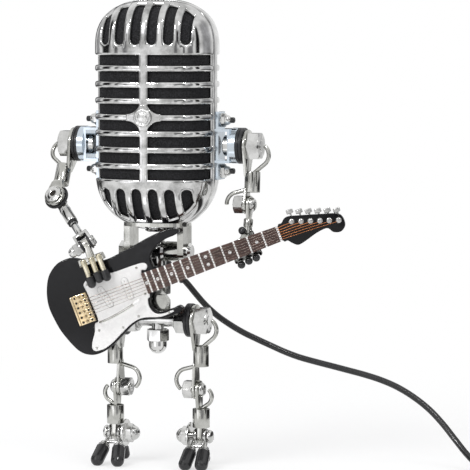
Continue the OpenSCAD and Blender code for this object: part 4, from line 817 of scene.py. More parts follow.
def big_bolt(shape, place, x, root_x):
    """Threaded bolt along z with its chamfered nut outside the eye plate at x."""
    nut_x = x + GAP + EYE_T + GAP
    shape.thread(6, root_x, nut_x + BIG_NUT_T + 0.3, place, 1.0)
    shape.nut(12, nut_x, nut_x + BIG_NUT_T, place, turn=POINT_UP)


shoulders, hips, couplings = Shape(), Shape(), Shape()
for place in on_both_sides(0, ARM_Y, SHOULDER_Z):
    big_bolt(shoulders, place, ARM_X, 35.2)
    shoulders.lathe([(0, 32.38), (4.6, 32.38), (5, 32.75), (5, 35.1), (4.7, 35.38), (0, 35.38)], place)
for place in on_both_sides(0, 0, HIP_Z):
    big_bolt(hips, place, LEG_X, 8.44)
    couplings.hoop([(3.05, 8.42), (3.9, 8.42), (4.0, 8.5), (4.0, 8.72), (4.62, 8.74), (4.7, 8.8), (4.7, 9.06),
                    (4.4, 9.1), (4.4, 9.28), (4.7, 9.32), (4.7, 9.62), (4.6, 9.7), (3.05, 9.7)], place, 64)
    couplings.nut(12, 9.74, 14.96, place, both=True, turn=POINT_UP)
shoulders.piece("shoulder_hardware", BRIGHT, "head", "shoulder_bolts", angle=28)
hips.piece("hip_hardware", BRIGHT, "torso", "hip_bolts", angle=28)
couplings.piece("hip_coupling_nuts", BRIGHT, "torso", "hip_couplings")
collar = Shape()
collar.lathe([(0, 111.4), (4.6, 111.4), (5.4, 111.5), (5.85, 111.85), (6, 112.25), (5.85, 112.6),
              (5.4, 112.75), (5.4, 112.9), (5.95, 113), (6.15, 113.35), (6.15, 113.8), (5.9, 114.1),
              (5.4, 114.3), (0, 114.3)], n=96)
collar.piece("neck_collar", CHROME, "head", angle=28)
for name, x, y, z, r, node, body in (
        ("shoulder_rubber", 39.65, ARM_Y, SHOULDER_Z, 8.5, "shoulder_washers", "head"),
        ("hip_rubber", 15.02, 0, HIP_Z, 8.0, "hip_washers", "torso")):
    rubber = Shape()
    for place in on_both_sides(x, y, z):
        rubber.hoop([(3.05, 0), (r - 0.35, 0), (r - 0.1, 0.1), (r, 0.35), (r, 1.25), (r - 0.28, 1.47),
                     (r, 1.69), (r, 2.6), (r - 0.1, 2.86), (r - 0.35, 2.96), (3.05, 2.96)], place, 72)
    rubber.piece(name, RUBBER, body, node, angle=35)
crotch = Shape(moved(0, 0, HIP_Z - 4.92) @ spun("X", 180))
acorn(crotch, Matrix(), 9.6, 5.5, 4.3, 11.6)
crotch.lathe([(0, -0.3), (4.4, -0.3), (4.5, -0.1), (4.4, 0.1), (0, 0.1)])
crotch.piece("crotch_acorn", BRIGHT, "torso", "crotch_nut")


def arc_wire(shape, place, centre, r, a0, a1, tail):
    """Bent wire in the xz plane: a straight tail, then an arc with a rounded end."""
    cx, cz = centre
    a, b = math.radians(a0), math.radians(a1)
    arc = [a + (b - a) * k / 20 for k in range(21)]
    points = [Vector((cx + r * math.cos(t), 0, cz + r * math.sin(t))) for t in arc]
    back = Vector((math.sin(a), 0, -math.cos(a))) * tail
    points = [points[0] + back * (1 - k / 4) for k in range(4)] + points
    end = (points[-1] - points[-2]).normalized()
    radii = [1.0] * (len(points) - 1) + [0.97, 0.8, 0.45]
    shape.tube(points + [points[-1] + end * 0.18, points[-1] + end * 0.3], radii, 18, place)


def barrel(shape, place, d, length):
    """Round barrel from z = 0 down, with a recessed mouth and a soft edge at each end."""
    r = d / 2
    edge = [(0, 1.2), (r - 1, 1.2), (r - 1, 0.12), (r - 0.86, 0), (r - 0.25, 0), (r - 0.06, 0.08), (r, 0.28)]
    shape.lathe([(x, z - length) for x, z in edge] + [(x, -z) for x, z in reversed(edge)], place)


def clevis(shape, place):
    """Upper half of a thigh or an upper arm: eye plate, barrel and hook."""
    shape.plate(drop_reach(7.6, 2.2, 14.5), 3.08, GAP, GAP + EYE_T, place)
    barrel(shape, place @ moved(LINK_X, 0, -12.1), 7.4, 9.8)
    arc_wire(shape, place, (5.9, -4.3), 5.5, -50, 52, 7.9)


def link_end(shape, place, drop, lift):
    """Lower half of a thigh or an upper arm: the plate round the joint's pin and its hook."""
    pin = place @ moved(LINK_X, 0)
    shape.plate(drop_reach(LINK_R, 2.4, drop + 2), 2.08, OUTER, OUTER + LINK_T, pin @ spun("X", 180))
    hook_r, z = 5.5, drop + lift - 6.8
    arc_wire(shape, pin, (-6.9, z), hook_r, 105, 180 + math.degrees(math.asin(z / hook_r)), 9.6)


def small_bolt(shape, place):
    """Bolt of a knee or of the left elbow: chamfered nut inside, low cone head outside."""
    place = place @ ALONG_X
    nut_t, head_x = 4.7, LINK_X + INNER + LINK_T + 0.02
    nut_x = LINK_X + OUTER - GAP - nut_t
    shape.thread(4, -nut_x - 1, 0.8 - nut_x, place @ spun("Y", 180), 0.7)
    shape.lathe(rod(2, nut_x, head_x + 0.3), place)
    shape.nut(8, nut_x, nut_x + nut_t, place, both=True, turn=POINT_UP)
    cone = [(0, 0), (3.4, 0), (3.45, 0.3), (3.4, 0.8), (3.0, 1.5), (2.3, 2.05), (1.3, 2.2), (1.15, 1.5),
            (0, 1.45)]
    shape.lathe([(r, head_x + z) for r, z in cone], place)


SHIN_HOOK_R, SHIN_HOOK_Z = 4.4, -3.2
TOE_X = {"right": (-6, 4.2), "left": (-3.4, 4.6)}
for word, side in SIDES:
    leg, knee, ankle = (side @ moved(LEG_X, 0, z) for z in (HIP_Z, KNEE_Z, ANKLE_Z))
    thigh = Shape()
    clevis(thigh, leg)
    link_end(thigh, knee, 11.1, 0)
    thigh.piece(f"thigh_link_{word}", SATIN, f"thigh_{word}", f"thigh_{word}", angle=32)
    hardware = Shape()
    small_bolt(hardware, knee)
    hardware.piece(f"knee_hardware_{word}", BRIGHT, f"shin_{word}", f"knee_bolt_{word}", angle=28)
    shin, middle = Shape(), knee @ moved(LINK_X, 0)
    shin.plate(drop_reach(LINK_R - 0.2, 2.4, 11.0), 2.02, INNER, INNER + LINK_T, middle)
    arc_wire(shin, middle, (0.9, SHIN_HOOK_Z), SHIN_HOOK_R, -55,
             math.degrees(math.asin(-SHIN_HOOK_Z / SHIN_HOOK_R)), 6.8)
    barrel(shin, middle @ moved(0, 0, -9), 8.2, 9.0)
    shin.plate(drop_reach(3.15, 2.2, 6.0), 2.02, -1.2, 1.2, ankle @ moved(LINK_X, 0) @ spun("X", 180), 0.2)
    shin.piece(f"shin_link_{word}", SATIN, f"shin_{word}", f"shin_{word}", angle=32)
    hardware, pin, inward = Shape(), ankle @ ALONG_X, ankle @ moved(-1.05, 0) @ spun("Y", -90)
    hardware.lathe(rod(2, -7.05, 8.2), pin)
    hardware.lathe([(0, 0), (6.3, 0), (6.5, 0.2), (6.5, 0.85), (6.25, 1.1), (4.6, 1.1), (4.5, 1.2), (0, 1.2)],
                   inward, 56)
    acorn(hardware, inward @ moved(0, 0, 1.05), 8, 3.4, 3.5, 6.6)
    hardware.lathe([(0, 7.7), (3.15, 7.7), (3.2, 8.0), (3.15, 8.4), (2.7, 9.1), (2.0, 9.45), (0, 9.5)], pin)
    hardware.piece(f"ankle_hardware_{word}", BRIGHT, f"shin_{word}", f"ankle_bolt_{word}", angle=28)
    # wire rings on the ankle bolt, with the toes' rods and their collars; places are from the ankle
    foot, bars = Shape(ankle), []
    heel_tip = Vector((LINK_X - 1.2, 9, 2.2 - ANKLE_Z))
    heel_up = Vector((0, -0.45, 1)).normalized()
    heel_top = heel_tip + heel_up * 4.5
    foot.tube([heel_top + heel_up * 0.5, heel_top, heel_tip], [0.5, 0.95, 0.95], 16)
    for sign, toe_x in zip((-1, 1), TOE_X[word]):
        tip = Vector((LINK_X + toe_x, -13.6, 2.8 - ANKLE_Z))
        root = Vector((LINK_X + sign * 2.9, -2, -2.2))
        heel_root = Vector((LINK_X + sign * 2.35, 2, -2.2))
        toe_dir = (tip - root).normalized()
        foot.hoop([(2.95 + x, y) for x, y in oval(16, 0.85, 0.85)], moved(heel_root.x, 0) @ ALONG_X, 40)
        foot.tube([root - toe_dir * 0.3, root, root.lerp(tip, 0.5), tip], [0.6, 0.95, 0.95, 0.95], 18)
        collar = turned(tip - toe_dir * 9.15, toe_dir)
        foot.lathe([(0, 0), (2.2, 0), (2.7, 0.12), (2.9, 0.35), (2.9, 0.6), (2.5, 0.72), (2.75, 0.84),
                    (2.75, 1.2), (2.5, 1.32), (0, 1.32)], collar, 36)
        foot.lathe([(0, 0), (1.75, 0), (2.2, 0.15), (2.25, 0.4), (2.25, 1.5), (0, 1.5)],
                   collar @ moved(0, 0, -1.5), 32)
        foot.tube([heel_root, heel_root.lerp(heel_top, 0.5), heel_top], 0.85, 16)
        bars.append(root + Vector((0, -2.4, -2)))
    foot.tube([bars[0], bars[0].lerp(bars[1], 0.5), bars[1]], 0.8, 16)
    foot.piece(f"foot_rods_{word}", BRIGHT, f"foot_{word}", f"foot_{word}", angle=32)

left_shoulder = moved(ARM_X, ARM_Y, SHOULDER_Z) @ spun("X", -5)
left_elbow = left_shoulder @ Vector((0, 0, -ELBOW_DROP))
upper, hardware = Shape(), Shape()
clevis(upper, left_shoulder)
link_end(upper, left_shoulder @ moved(0, 0, -ELBOW_DROP), 5.7, 1.3)
upper.piece("upper_arm_link_left", SATIN, "upper_arm_left", "upper_arm_left", angle=32)
small_bolt(hardware, moved(*left_elbow))
hardware.piece("elbow_hardware_left", BRIGHT, "forearm_left", "elbow_bolt_left", angle=28)


# ---------------------------------------------------------------- guitar
ROLL, YAW = math.radians(20.8), math.radians(11)
GU = Vector((math.cos(ROLL) * math.cos(YAW), math.cos(ROLL) * math.sin(YAW), math.sin(ROLL)))
GV = Vector((-math.sin(ROLL) * math.cos(YAW), -math.sin(ROLL) * math.sin(YAW), math.cos(ROLL)))
GUITAR = basis((-0.6, -16, 88), GU, GV, GU.cross(GV))
BODY_T, GUARD_TOP, BOARD_LEN, BOARD_W, NUT_W = 6.4, 0.8, 68.4, 10.1, 7.3
BOARD_TOP, FRETS, STRING_TOP, COURSES = 2.1, 13, 2.7, 6
FIRST_FRET, FRET_RATIO = 0.117, 0.92
# tuner posts: the first one's place past the nut, and the step to the next
POST_U, POST_V, POST_STEP_U, POST_STEP_V = 6.8, 3.3, 4.18, -1.4
BODY_POINTS = [
    (-47, -1.1), (-47.3, 6), (-45.6, 12.8), (-42, 19.2), (-36.6, 23), (-31.5, 23.6), (-27.6, 22.5),
    (-21, 18.6), (-14.3, 16.9), (-6, 17.6), (1.3, 18.6), (10, 19.9), (17.5, 20.1), (22.6, 18.9),
    (23.7, 17.2), (21, 16.4), (16, 16.1), (10.3, 14.2), (6.6, 10.7), (6.2, 6.4), (7.6, 4.4), (7.6, -4.2),
    (3, -5.2), (-0.3, -7.4), (-0.9, -11.4), (1.8, -14.8), (7.2, -15.6), (11.2, -15.4), (12.2, -17.2),
    (8.4, -18.6), (1.5, -18.3), (-6.5, -15.8), (-12, -16.3), (-18, -18.9), (-24.6, -22), (-31, -23.6),
    (-36.7, -22.8), (-41.5, -18.7), (-45.5, -9)]
GUARD_POINTS = [
    (-27.6, 6.6), (-27.8, 9.2), (-26.3, 10.8), (-22.6, 11.8), (-17, 11.1), (-12.4, 10.1), (-2, 9.9),
    (2.6, 9.4), (4, 7.6), (2.6, 5.9), (0.2, 5.6), (0.2, -5.6), (-1.4, -7.4), (-2, -11), (-0.6, -14.6),
    (3, -16.2), (7.4, -16.2), (7.8, -17.1), (1.2, -17.2), (-6.3, -14.9), (-12, -15.3), (-18, -17.8),
    (-24.6, -20.9), (-29, -22.2), (-33.2, -22), (-34.6, -20.2), (-33.4, -17.2), (-30.8, -13.4),
    (-29.2, -9.6), (-27.2, -8.8), (-27.2, -2)]
HEAD_POINTS = [
    (0.02, 3.6), (2, 4.3), (5.1, 6.2), (11.6, 4.6), (19.6, 2.2), (27.7, -0.4), (29.9, -3), (29.6, -7),
    (26.8, -9), (23.4, -8), (21.2, -5.3), (15.6, -5.8), (10.6, -7.2), (6.1, -8), (3.6, -6.2), (2, -4.4),
    (0.02, -3.7)]


def slab(shape, outline, steps, matrix=None):
    """A plate with the outline, through (height, inset) steps."""
    n = len(outline)
    turn = 1 if sum(a.x * b.y - b.x * a.y for a, b in zip(outline, outline[1:] + outline[:1])) > 0 else -1
    along_edge = [(outline[(i + 1) % n] - outline[i - 1]).normalized() * turn for i in range(n)]
    shape.rings([[(p.x - s.y * d, p.y + s.x * d, z) for p, s in zip(outline, along_edge)] for z, d in steps],
                matrix=matrix)


EDGE_RISE, EDGE_IN = 0.85, 0.5
quarter = [(math.sin(math.radians(15 * k)), math.cos(math.radians(15 * k))) for k in range(7)]
body = Shape(GUITAR)
slab(body, spline(BODY_POINTS, 6, True),
     [(-BODY_T, 0.6)] + [(EDGE_RISE * (1 - c) - BODY_T, EDGE_IN * (1 - s)) for s, c in quarter]
     + [(EDGE_RISE * (s - 1), EDGE_IN * (1 - c)) for s, c in quarter] + [(0, 0.6)])
body.piece("guitar_body_shell", LACQUER, "torso", "guitar_body", angle=50)
guard = Shape(GUITAR)
slab(guard, spline(GUARD_POINTS, 5, True),
     [(0.03, 0), (0.5, 0), (0.62, 0.04), (GUARD_TOP, 0.26), (GUARD_TOP, 0.34)])
guard.piece("pickguard_plate", IVORY, "torso", "pickguard")

# pickguard screws with crossed slots, and pickups with their poles, each in a dark ring of painted shade for
# the gap round its cover
SCREWS = [(-26.0, 9.0), (-14.6, 9.3), (-1.2, 8.3), (-1.6, -4.6), (-17.2, -15.9), (-32.4, -20.6), (5.9, -16.7),
          (-8.3, -13.4), (-28.4, -13.2)]
screws, covers, poles, gap_shades = (Shape(GUITAR) for _ in range(4))
for k, (u, v) in enumerate(SCREWS):
    spot = moved(u, v, GUARD_TOP) @ Matrix.Rotation(1.1 * k, 4, "Z")
    screws.lathe([(0.62, -0.1), (0.62, 0.05), (0.5, 0.16), (0.3, 0.2), (0.22, 0.2), (0.2, 0.08), (0, 0.06)],
                 spot, 20)
    for turn in (0, 90):
        screws.box((-0.42, -0.05, 0.08), (0.42, 0.05, 0.21), 0, 1, spot @ spun("Z", turn))
for u, v, half, slant in ((-19.9, 0.5, 5.6, 14), (-8.7, 0.6, 5.4, 0)):
    spot = moved(u, v) @ spun("Z", slant)
    stadium = [Vector((x, y + math.copysign(half - 1.5, y))) for x, y in oval(40, 1.5, 1.5, lead=0.5)]
    slab(covers, stadium, [(0.7, 0), (1.18, 0), (1.32, 0.1), (1.38, 0.28)], spot)
    # a dark ring just outside the cover, in the gap: painted shade
    slab(gap_shades, stadium, [(0.6, -0.2), (0.84, -0.2), (0.86, -0.14)], spot)
    for k in range(COURSES):
        pole = spot @ moved(0, (k - 2.5) * 1.5, 1.3)
        poles.lathe([(0.36, 0), (0.36, 0.12), (0.28, 0.17), (0, 0.17)], pole, 16)
screws.piece("pickguard_screws", SATIN, "torso")
covers.piece("pickup_covers", IVORY, "torso")
poles.piece("pickup_poles", SATIN, "torso")
gap_shades.piece("pickup_gap_shades", GAP_SHADE, "torso")


# fretboard with its dots, round-topped frets and a nut
def fret_u(i):
    """Place of fret i, with 0 at the nut: each space is FRET_RATIO of the one before."""
    return BOARD_LEN - BOARD_LEN * FIRST_FRET * (1 - FRET_RATIO ** i) / (1 - FRET_RATIO)


def board_half(u):
    """Half the fretboard's width at u."""
    return (NUT_W + (BOARD_W - NUT_W) * (BOARD_LEN - u) / BOARD_LEN) / 2


board, wires, nut_bar, dots = (Shape(GUITAR) for _ in range(4))
corners = [(0, -1), (BOARD_LEN, -1), (BOARD_LEN, 1), (0, 1)]
board.rings([[(u + (-d if u else d), side * (board_half(u) - d), z) for u, side in corners]
             for z, d in ((0.92, 0), (1.85, 0), (2.02, 0.05), (2.12, 0.2))])
board.piece("fingerboard", ROSEWOOD, "torso", "fretboard")
for i in range(1, FRETS + 1):
    u, half = fret_u(i), board_half(fret_u(i))
    rows = []
    for side, back, top in ((-1, 0, 0.06), (-1, 0.1, 0.24), (-1, 0.3, 0.31),
                            (1, 0.3, 0.31), (1, 0.1, 0.24), (1, 0, 0.06)):
        rows.append([(u + 0.4 * math.cos(a), side * (half - back), BOARD_TOP + 0.02 + top * math.sin(a))
                     for a in (math.pi * k / 8 for k in range(9))])
    wires.rings(rows)
wires.piece("fret_wires", FRET, "torso", "frets", angle=40)
nut_bar.box((BOARD_LEN - 1.05, -NUT_W / 2, BOARD_TOP - 0.1),
            (BOARD_LEN, NUT_W / 2, BOARD_TOP + 0.42), 0.12, 2)
nut_bar.piece("nut_bar", IVORY, "torso")
for k in range(2, FRETS + 2, 2):
    u = (fret_u(k) + fret_u(k - 1)) / 2 if k <= FRETS else fret_u(FRETS) / 2
    for v in ((-1.9, 1.9) if k == 6 else (0,)):
        dots.lathe([(0.8, -0.05), (0.8, 0.035), (0.74, 0.05), (0, 0.05)], moved(u, v, BOARD_TOP + 0.02), 24)
dots.piece("neck_dots", IVORY, "torso")

# strings: dark over the neck, bright bronze from the nut to the posts
lines, ends, tuners = (Shape(GUITAR) for _ in range(3))
for i in range(COURSES):
    post_u, post_v = BOARD_LEN + POST_U + i * POST_STEP_U, POST_V + i * POST_STEP_V
    a = Vector((-28.6, (2.5 - i) * 9.4 / 6 - 1, STRING_TOP))
    b = Vector((BOARD_LEN - 0.2, (2.5 - i) * (NUT_W - 0.6) / 6, STRING_TOP - 0.08))
    post = Vector((post_u, post_v, 1.75))
    thick = 0.085 + 0.014 * (5 - i)
    lines.tube([a, a.lerp(b, 0.5), b], thick, 8)
    ends.tube([b, b.lerp(post, 0.04), b.lerp(post, 0.5), post + Vector((-0.6, -0.35, 0))], thick + 0.03, 8)
    ends.tube([post + Vector((0.78 * math.cos(w * 0.5), 0.78 * math.sin(w * 0.5), 0.02 * w - 0.2))
               for w in range(38)], 0.1, 6)
    # post with its ferrule, shaft and oval button
    tuners.lathe([(1.3, 0.6), (1.32, 0.82), (1.2, 0.96), (0.95, 1.04), (0.84, 1.1), (0.72, 1.4), (0.68, 1.75),
                  (0.78, 2.1), (0.9, 2.3), (0.88, 2.5), (0.76, 2.56), (0.34, 2.56), (0.3, 2.3), (0, 2.28)],
                 moved(post_u, post_v), 28)
    shaft = moved(post_u + 0.6, post_v + 2.2, -0.9) @ ALONG_Y
    tuners.lathe([(0.42, 0), (0.42, 1.2), (0.62, 1.3), (0.62, 1.62), (0.5, 1.7), (0.5, 1.9)], shaft, 18)
    button = ((0, 0.82), (0.14, 0.94), (0.35, 1.0), (1.0, 0.97), (1.6, 1.0), (1.86, 0.94), (1.98, 0.8))
    tuners.rings([[(x, y, 1.52 + z) for x, y in oval(36, 1.68 * grow, 0.98 * grow, 0.6, 0.5)]
                  for z, grow in button], matrix=shaft)
lines.piece("string_set", STRING, "torso", "strings", angle=40)
ends.piece("string_ends", BRONZE, "torso", angle=40)
tuners.piece("tuner_set", BUTTON, "torso", "tuners", angle=40)
stock = Shape(GUITAR @ moved(BOARD_LEN, 0))
slab(stock, spline(HEAD_POINTS, 6, True),
     [(-2.2, 0.3), (-2.1, 0.1), (-1.9, 0), (0.35, 0), (0.55, 0.08), (0.66, 0.2), (0.7, 0.36)])
stock.piece("headstock_plate", LACQUER, "torso", "headstock", angle=40)

# bridge: plate with a plain lip, two rows of holes and screws, and six rounded saddles; the holes, saddle
# slits and screw slots are dark pieces of painted shade
BRIDGE_V, SADDLE_STEP = -8.4, 2.4
plate, hole_shades, tip = (Shape(GUITAR) for _ in range(3))
plate.box((-36.4, BRIDGE_V, 0.04), (-28.0, 6.0, 1.04), 0.25)
plate.box((-36.3, BRIDGE_V + 0.1, 0.9), (-35.2, 5.9, 1.45), 0.22)
for k in range(COURSES):
    v = BRIDGE_V + SADDLE_STEP * (k + 0.5)
    plate.box((-31.0, v - 1.02, 0.9), (-28.1, v + 1.02, 2.5), 0.38, 4)
    plate.lathe([(0.72, 0.9), (0.72, 1.5), (0.55, 1.74), (0.2, 1.8), (0, 1.8)], moved(-32.2, v), 20)
    plate.lathe([(0.82, 0.95), (0.82, 1.1), (0.7, 1.2), (0.56, 1.2), (0.56, 1.02)], moved(-34.0, v), 20)
    # dark discs in the rings and on the saddle tops, dark slits in the saddles and screw heads: painted shade
    hole_shades.lathe([(0.56, 0.9), (0.56, 1.13), (0, 1.13)], moved(-34.0, v), 18)
    hole_shades.lathe([(0.55, 2.0), (0.55, 2.53), (0, 2.53)], moved(-29.3, v), 18)
    hole_shades.box((-31.55, v - 0.12, 1.0), (-30.9, v + 0.12, 2.0), 0)
    hole_shades.box((-32.7, v - 0.09, 1.7), (-31.7, v + 0.09, 1.815), 0)
plate.piece("bridge_plate", GOLD, "torso", "bridge", angle=35)
hole_shades.piece("bridge_hole_shades", RECESS_SHADE, "torso", angle=35)
tip.tube([(-8.4, -7.3, 3.75), (-8.0, -7.2, 3.75), (-6.6, -6.85, 3.75), (-5.2, -6.45, 3.75),
          (-4.6, -6.3, 3.75), (-4.3, -6.2, 3.75)], [0.55, 0.86, 0.95, 0.92, 0.7, 0.3], 18)
tip.piece("tremolo_tip", IVORY, "torso", angle=50)


# ---------------------------------------------------------------- arms and hands
LUG_Y, LUG_R = 2.4, 5.1
FORK, PIN_END = 2.55, 3.77
ELBOW_AT = Vector((-46.4, -10.85, 126.68))
WRIST_AT = GUITAR @ Vector((-18.9, 27, 4.6))
RIGHT_LEAN = spun("X", -30)
arm_dir = RIGHT_LEAN @ Vector((0, 0, -1))
fore_dir = (WRIST_AT - ELBOW_AT).normalized()
fore_len = (WRIST_AT - ELBOW_AT).length
pin_dir = arm_dir.cross(fore_dir).normalized()
wrist_x = (GU - GU.dot(fore_dir) * fore_dir).normalized()
ELBOW = basis(ELBOW_AT, pin_dir.cross(arm_dir), pin_dir, arm_dir)
FOREARM = basis(ELBOW_AT, pin_dir.cross(fore_dir), pin_dir, fore_dir)
WRIST = basis(WRIST_AT, wrist_x, fore_dir.cross(wrist_x), fore_dir)


def washer(hole, r, y0, y1):
    """Profile of a flat ring with chamfered edges."""
    edge = 0.25
    return [(hole, y0), (r - edge, y0), (r, y0 + edge), (r, y1 - edge), (r - edge, y1), (hole, y1)]


upper = Shape()
clevis(upper, moved(-ARM_X, ARM_Y, SHOULDER_Z) @ RIGHT_LEAN @ MIRROR)
upper.hoop([(r, LUG_Y + y) for r, y in (
    (1.56, 0), (LUG_R - 0.3, 0), (LUG_R, 0.3), (LUG_R, 1.65), (LUG_R - 0.12, 1.87), (LUG_R - 0.4, 2),
    (4.35, 2), (4.2, 1.9), (1.56, 1.9))], ELBOW @ ALONG_Y, 72)
# throat from the barrel to the lug, and the lug's cheek, narrower at the top
upper.rings([[(x, (low + high) / 2 + y, z) for x, y in oval(32, half, (high - low) / 2, 0.5)]
             for z, half, low, high in (
                 (-8.6, 2.5, -0.2, 3.5), (-8.3, 2.8, -0.4, 3.7), (-7.6, 2.9, -0.2, 3.9),
                 (-6.7, 3.2, 0.2, 4.15), (-6.5, 3.1, 0.6, 4.2))], matrix=ELBOW)
cheek = [(max(min(c, 0.97), -0.97), max(min(1.9 * s, 1), -1)) for c, s in oval(28, 1, 1)]
upper.rings([[(half * c, LUG_Y + 0.95 + 0.9 * s, z) for c, s in cheek]
             for z, half in ((-7.2, 3.0), (-6.2, 3.35), (-5.0, 3.9), (-3.8, 4.2))], matrix=ELBOW)
upper.piece("upper_arm_link_right", SATIN, "upper_arm_right", "upper_arm_right", angle=32)

hardware, socket_shade, ring = Shape(), Shape(), Shape()
head_at = ELBOW @ moved(0, LUG_Y + 2.1) @ ALONG_Y
hardware.lathe([(0, 0), (3.8, 0), (4, 0.2), (4, 0.8), (3.86, 1.02), (3.5, 1.1), (3.3, 1.0), (3.1, 1.1),
                (2.4, 1.22), (1.7, 1.3), (1.5, 1.24), (1.4, 0.7), (0, 0.6)], head_at, 56)
hardware.thread(3, 0, 4.4, ELBOW @ moved(0, -1.0) @ spun("X", 90), 0.5)
hardware.lathe(rod(1.5, -1.1, 4.7), ELBOW @ ALONG_Y, 28)
hardware.nut(5.5, 0, 3, ELBOW @ moved(0, -1.02) @ spun("X", 90), both=True)
hardware.piece("elbow_hardware_right", BRIGHT, "forearm_right", "elbow_bolt_right", angle=28)
# a dark disc at the bottom of the screw head's recess: painted shade
socket_shade.lathe(rod(1.38, 0.62, 0.8), head_at, 32)
socket_shade.piece("elbow_socket_shade_right", RECESS_SHADE, "forearm_right", angle=38)
ring.hoop(washer(1.56, 6, 1.02, 2.22), ELBOW @ ALONG_Y, 64)
ring.piece("elbow_rubber_right", RUBBER, "forearm_right", "elbow_washer_right", angle=35)

arm, neck_shade, hardware = Shape(), Shape(), Shape()
arm.hoop(washer(1.52, 4.6, -1, 1), FOREARM @ ALONG_Y, 56)
arm.box((-2.4, -1, 3.2), (2.4, 1, 9), 0.35, 3, FOREARM)
arm.lathe([(0, 7.4), (2.2, 7.4), (2.55, 7.55), (2.7, 7.9), (2.7, 9.2), (2.55, 9.4), (2.55, 9.65), (2.7, 9.85),
           (2.7, 15.9), (2.55, 16.25), (2.3, 16.4), (2.1, 16.45), (2.1, 17.6), (1.95, 17.9), (1.7, 17.95),
           (1.45, 18.3), (1.45, 19.0), (1.7, 19.4), (1.7, fore_len - 6.6), (1.5, fore_len - 6.3),
           (1.5, fore_len - 5.2), (0, fore_len - 5.2)], FOREARM, 48)
arm.box((-FORK - 1.2, -2, -6.6), (FORK + 1.2, 2, -4.8), 0.45, 3, WRIST)
for flip in (Matrix(), MIRROR):
    arm.plate(drop_reach(3.0, 2.0, 6.0), 1.24, FORK, FORK + 1.2, WRIST @ flip, 0.25, 96)
arm.piece("forearm_rod_right", BRIGHT, "forearm_right", "forearm_right", angle=32)
# a black rubber-finished ring in the forearm's narrow neck: painted shade where that neck lies in shadow
neck_shade.hoop([(1.6, 16.3), (2.3, 16.3), (2.4, 16.5), (2.4, 16.9), (2.2, 17.05), (2.4, 17.2), (2.4, 17.7),
           (2.25, 17.9), (1.6, 17.95)], FOREARM, 40)
neck_shade.piece("forearm_neck_shade_right", RUBBER, "forearm_right", angle=35)
hardware.lathe([(0, 0), (2.3, 0), (2.4, 0.15), (2.35, 0.7), (2.0, 1.1), (1.3, 1.2), (1.1, 0.9), (0, 0.85)],
               WRIST @ moved(PIN_END, 0) @ ALONG_X, 36)
hardware.lathe(rod(1.2, -6.2, 3.9), WRIST @ ALONG_X, 24)
acorn(hardware, WRIST @ moved(-PIN_END, 0) @ spun("Y", -90), 5.5, 2.4, 2.4, 5.6)
hardware.piece("wrist_hardware_right", BRIGHT, "forearm_right", "wrist_bolt_right", angle=28)

hand, fingers = Shape(), Shape(GUITAR)
hand.plate(lambda angle: 2.7, 1.26, -1.6, 1.6, WRIST, 0.3, 64)
tab_root, tab_end = GUITAR.inverted() @ WRIST @ Vector((0, 0, 1.6)), Vector((-18.9, 20.6, 4.5))
tab = []
for t in (0, 0.15, 0.4, 0.7, 1.0):
    centre = tab_root.lerp(tab_end, t)
    section = oval(28, 1.6 + 0.3 * t, 2.3 - 0.65 * t, 0.55)
    tab.append([(centre.x + x, centre.y, centre.z + z) for x, z in section])
hand.rings(tab, matrix=GUITAR)
bar = [(-25.6, 18.0), (-25.5, 20.4), (-24.9, 21.1), (-21, 21.2), (-16.5, 21.2), (-13.3, 21.1),
       (-12.7, 20.4), (-12.6, 18.4), (-13.2, 17.7), (-16.5, 17.6), (-21, 17.6), (-24.9, 17.6)]
slab(hand, spline(bar, 5, True),
     [(2.4, 0.7), (2.55, 0.3), (2.9, 0.05), (4.9, 0.05), (5.25, 0.3), (5.4, 0.7)], GUITAR)
hand.piece("hand_bar_right", PALE, "hand_right", "hand_right", angle=32)
for u, tip_v in ((-23, 8.7), (-18.9, 9.75), (-15.2, 9.3)):
    fingers.lathe([(0, 0), (0.9, 0.1), (1.4, 0.6), (1.5, 1.1), (1.5, 3.2), (1.4, 3.5), (1.4, 20 - tip_v),
                   (0, 20 - tip_v)], basis((u, 21, 4.95), (1, 0, 0), (0, -0.035, -1), (0, -1, -0.035)), 36)
fingers.piece("finger_rods_right", CHAMPAGNE, "hand_right", angle=40)

# fretting arm: eye tab, round forearm, palm behind the neck, thumb and finger pins
GRIP, BACK, PALM_T, BALL_N = 49.6, -5.9, 2.4, -1.6
THUMB_V, FINGER_V = 7.28, -6.88
arm, middle = Shape(), BACK + PALM_T / 2
palm_top = GUITAR @ Vector((GRIP + 3.4, 5.03, middle))
pin_at = left_elbow + Vector((LINK_X + INNER + LINK_T / 2, 0, 0))
hang = Vector((0, palm_top.y - pin_at.y, palm_top.z - pin_at.z)).normalized()
arm.plate(drop_reach(LINK_R - 0.4, 1.8, 7.6), 2.02, -LINK_T / 2, LINK_T / 2,
          moved(*pin_at) @ Matrix.Rotation(math.atan2(hang.y, -hang.z), 4, "X"))
top = pin_at + hang * (LINK_R + 2.2)
reach = (palm_top - top).length
arm.lathe([(0, 0), (1.75, 0), (2.05, 0.12), (2.2, 0.4)]
          + [(r, reach / 2 + z) for r, z in ((2.2, 0), (2.08, 0.25), (1.9, 0.35), (1.9, 0.7), (2.1, 0.95))]
          + [(2.1, reach), (0, reach)], turned(top, palm_top - top), 40)
palm = [(-5.9, FINGER_V + 1.4), (-5.9, 3.0), (-5.2, 3.8), (-1, 4.2), (0.6, 5.6), (1.4, 6.2), (4.6, 6.2),
        (5.7, 5.6), (5.9, 4.6), (5.9, FINGER_V + 1.4), (5.3, FINGER_V + 1), (-5.3, FINGER_V + 1)]
edge = [(0, 0.5), (0.2, 0.12), (0.5, 0)]
slab(arm, spline([(GRIP + u, v) for u, v in palm], 5, True),
     [(BACK + z, d) for z, d in edge] + [(BACK + PALM_T - z, d) for z, d in reversed(edge)], GUITAR)
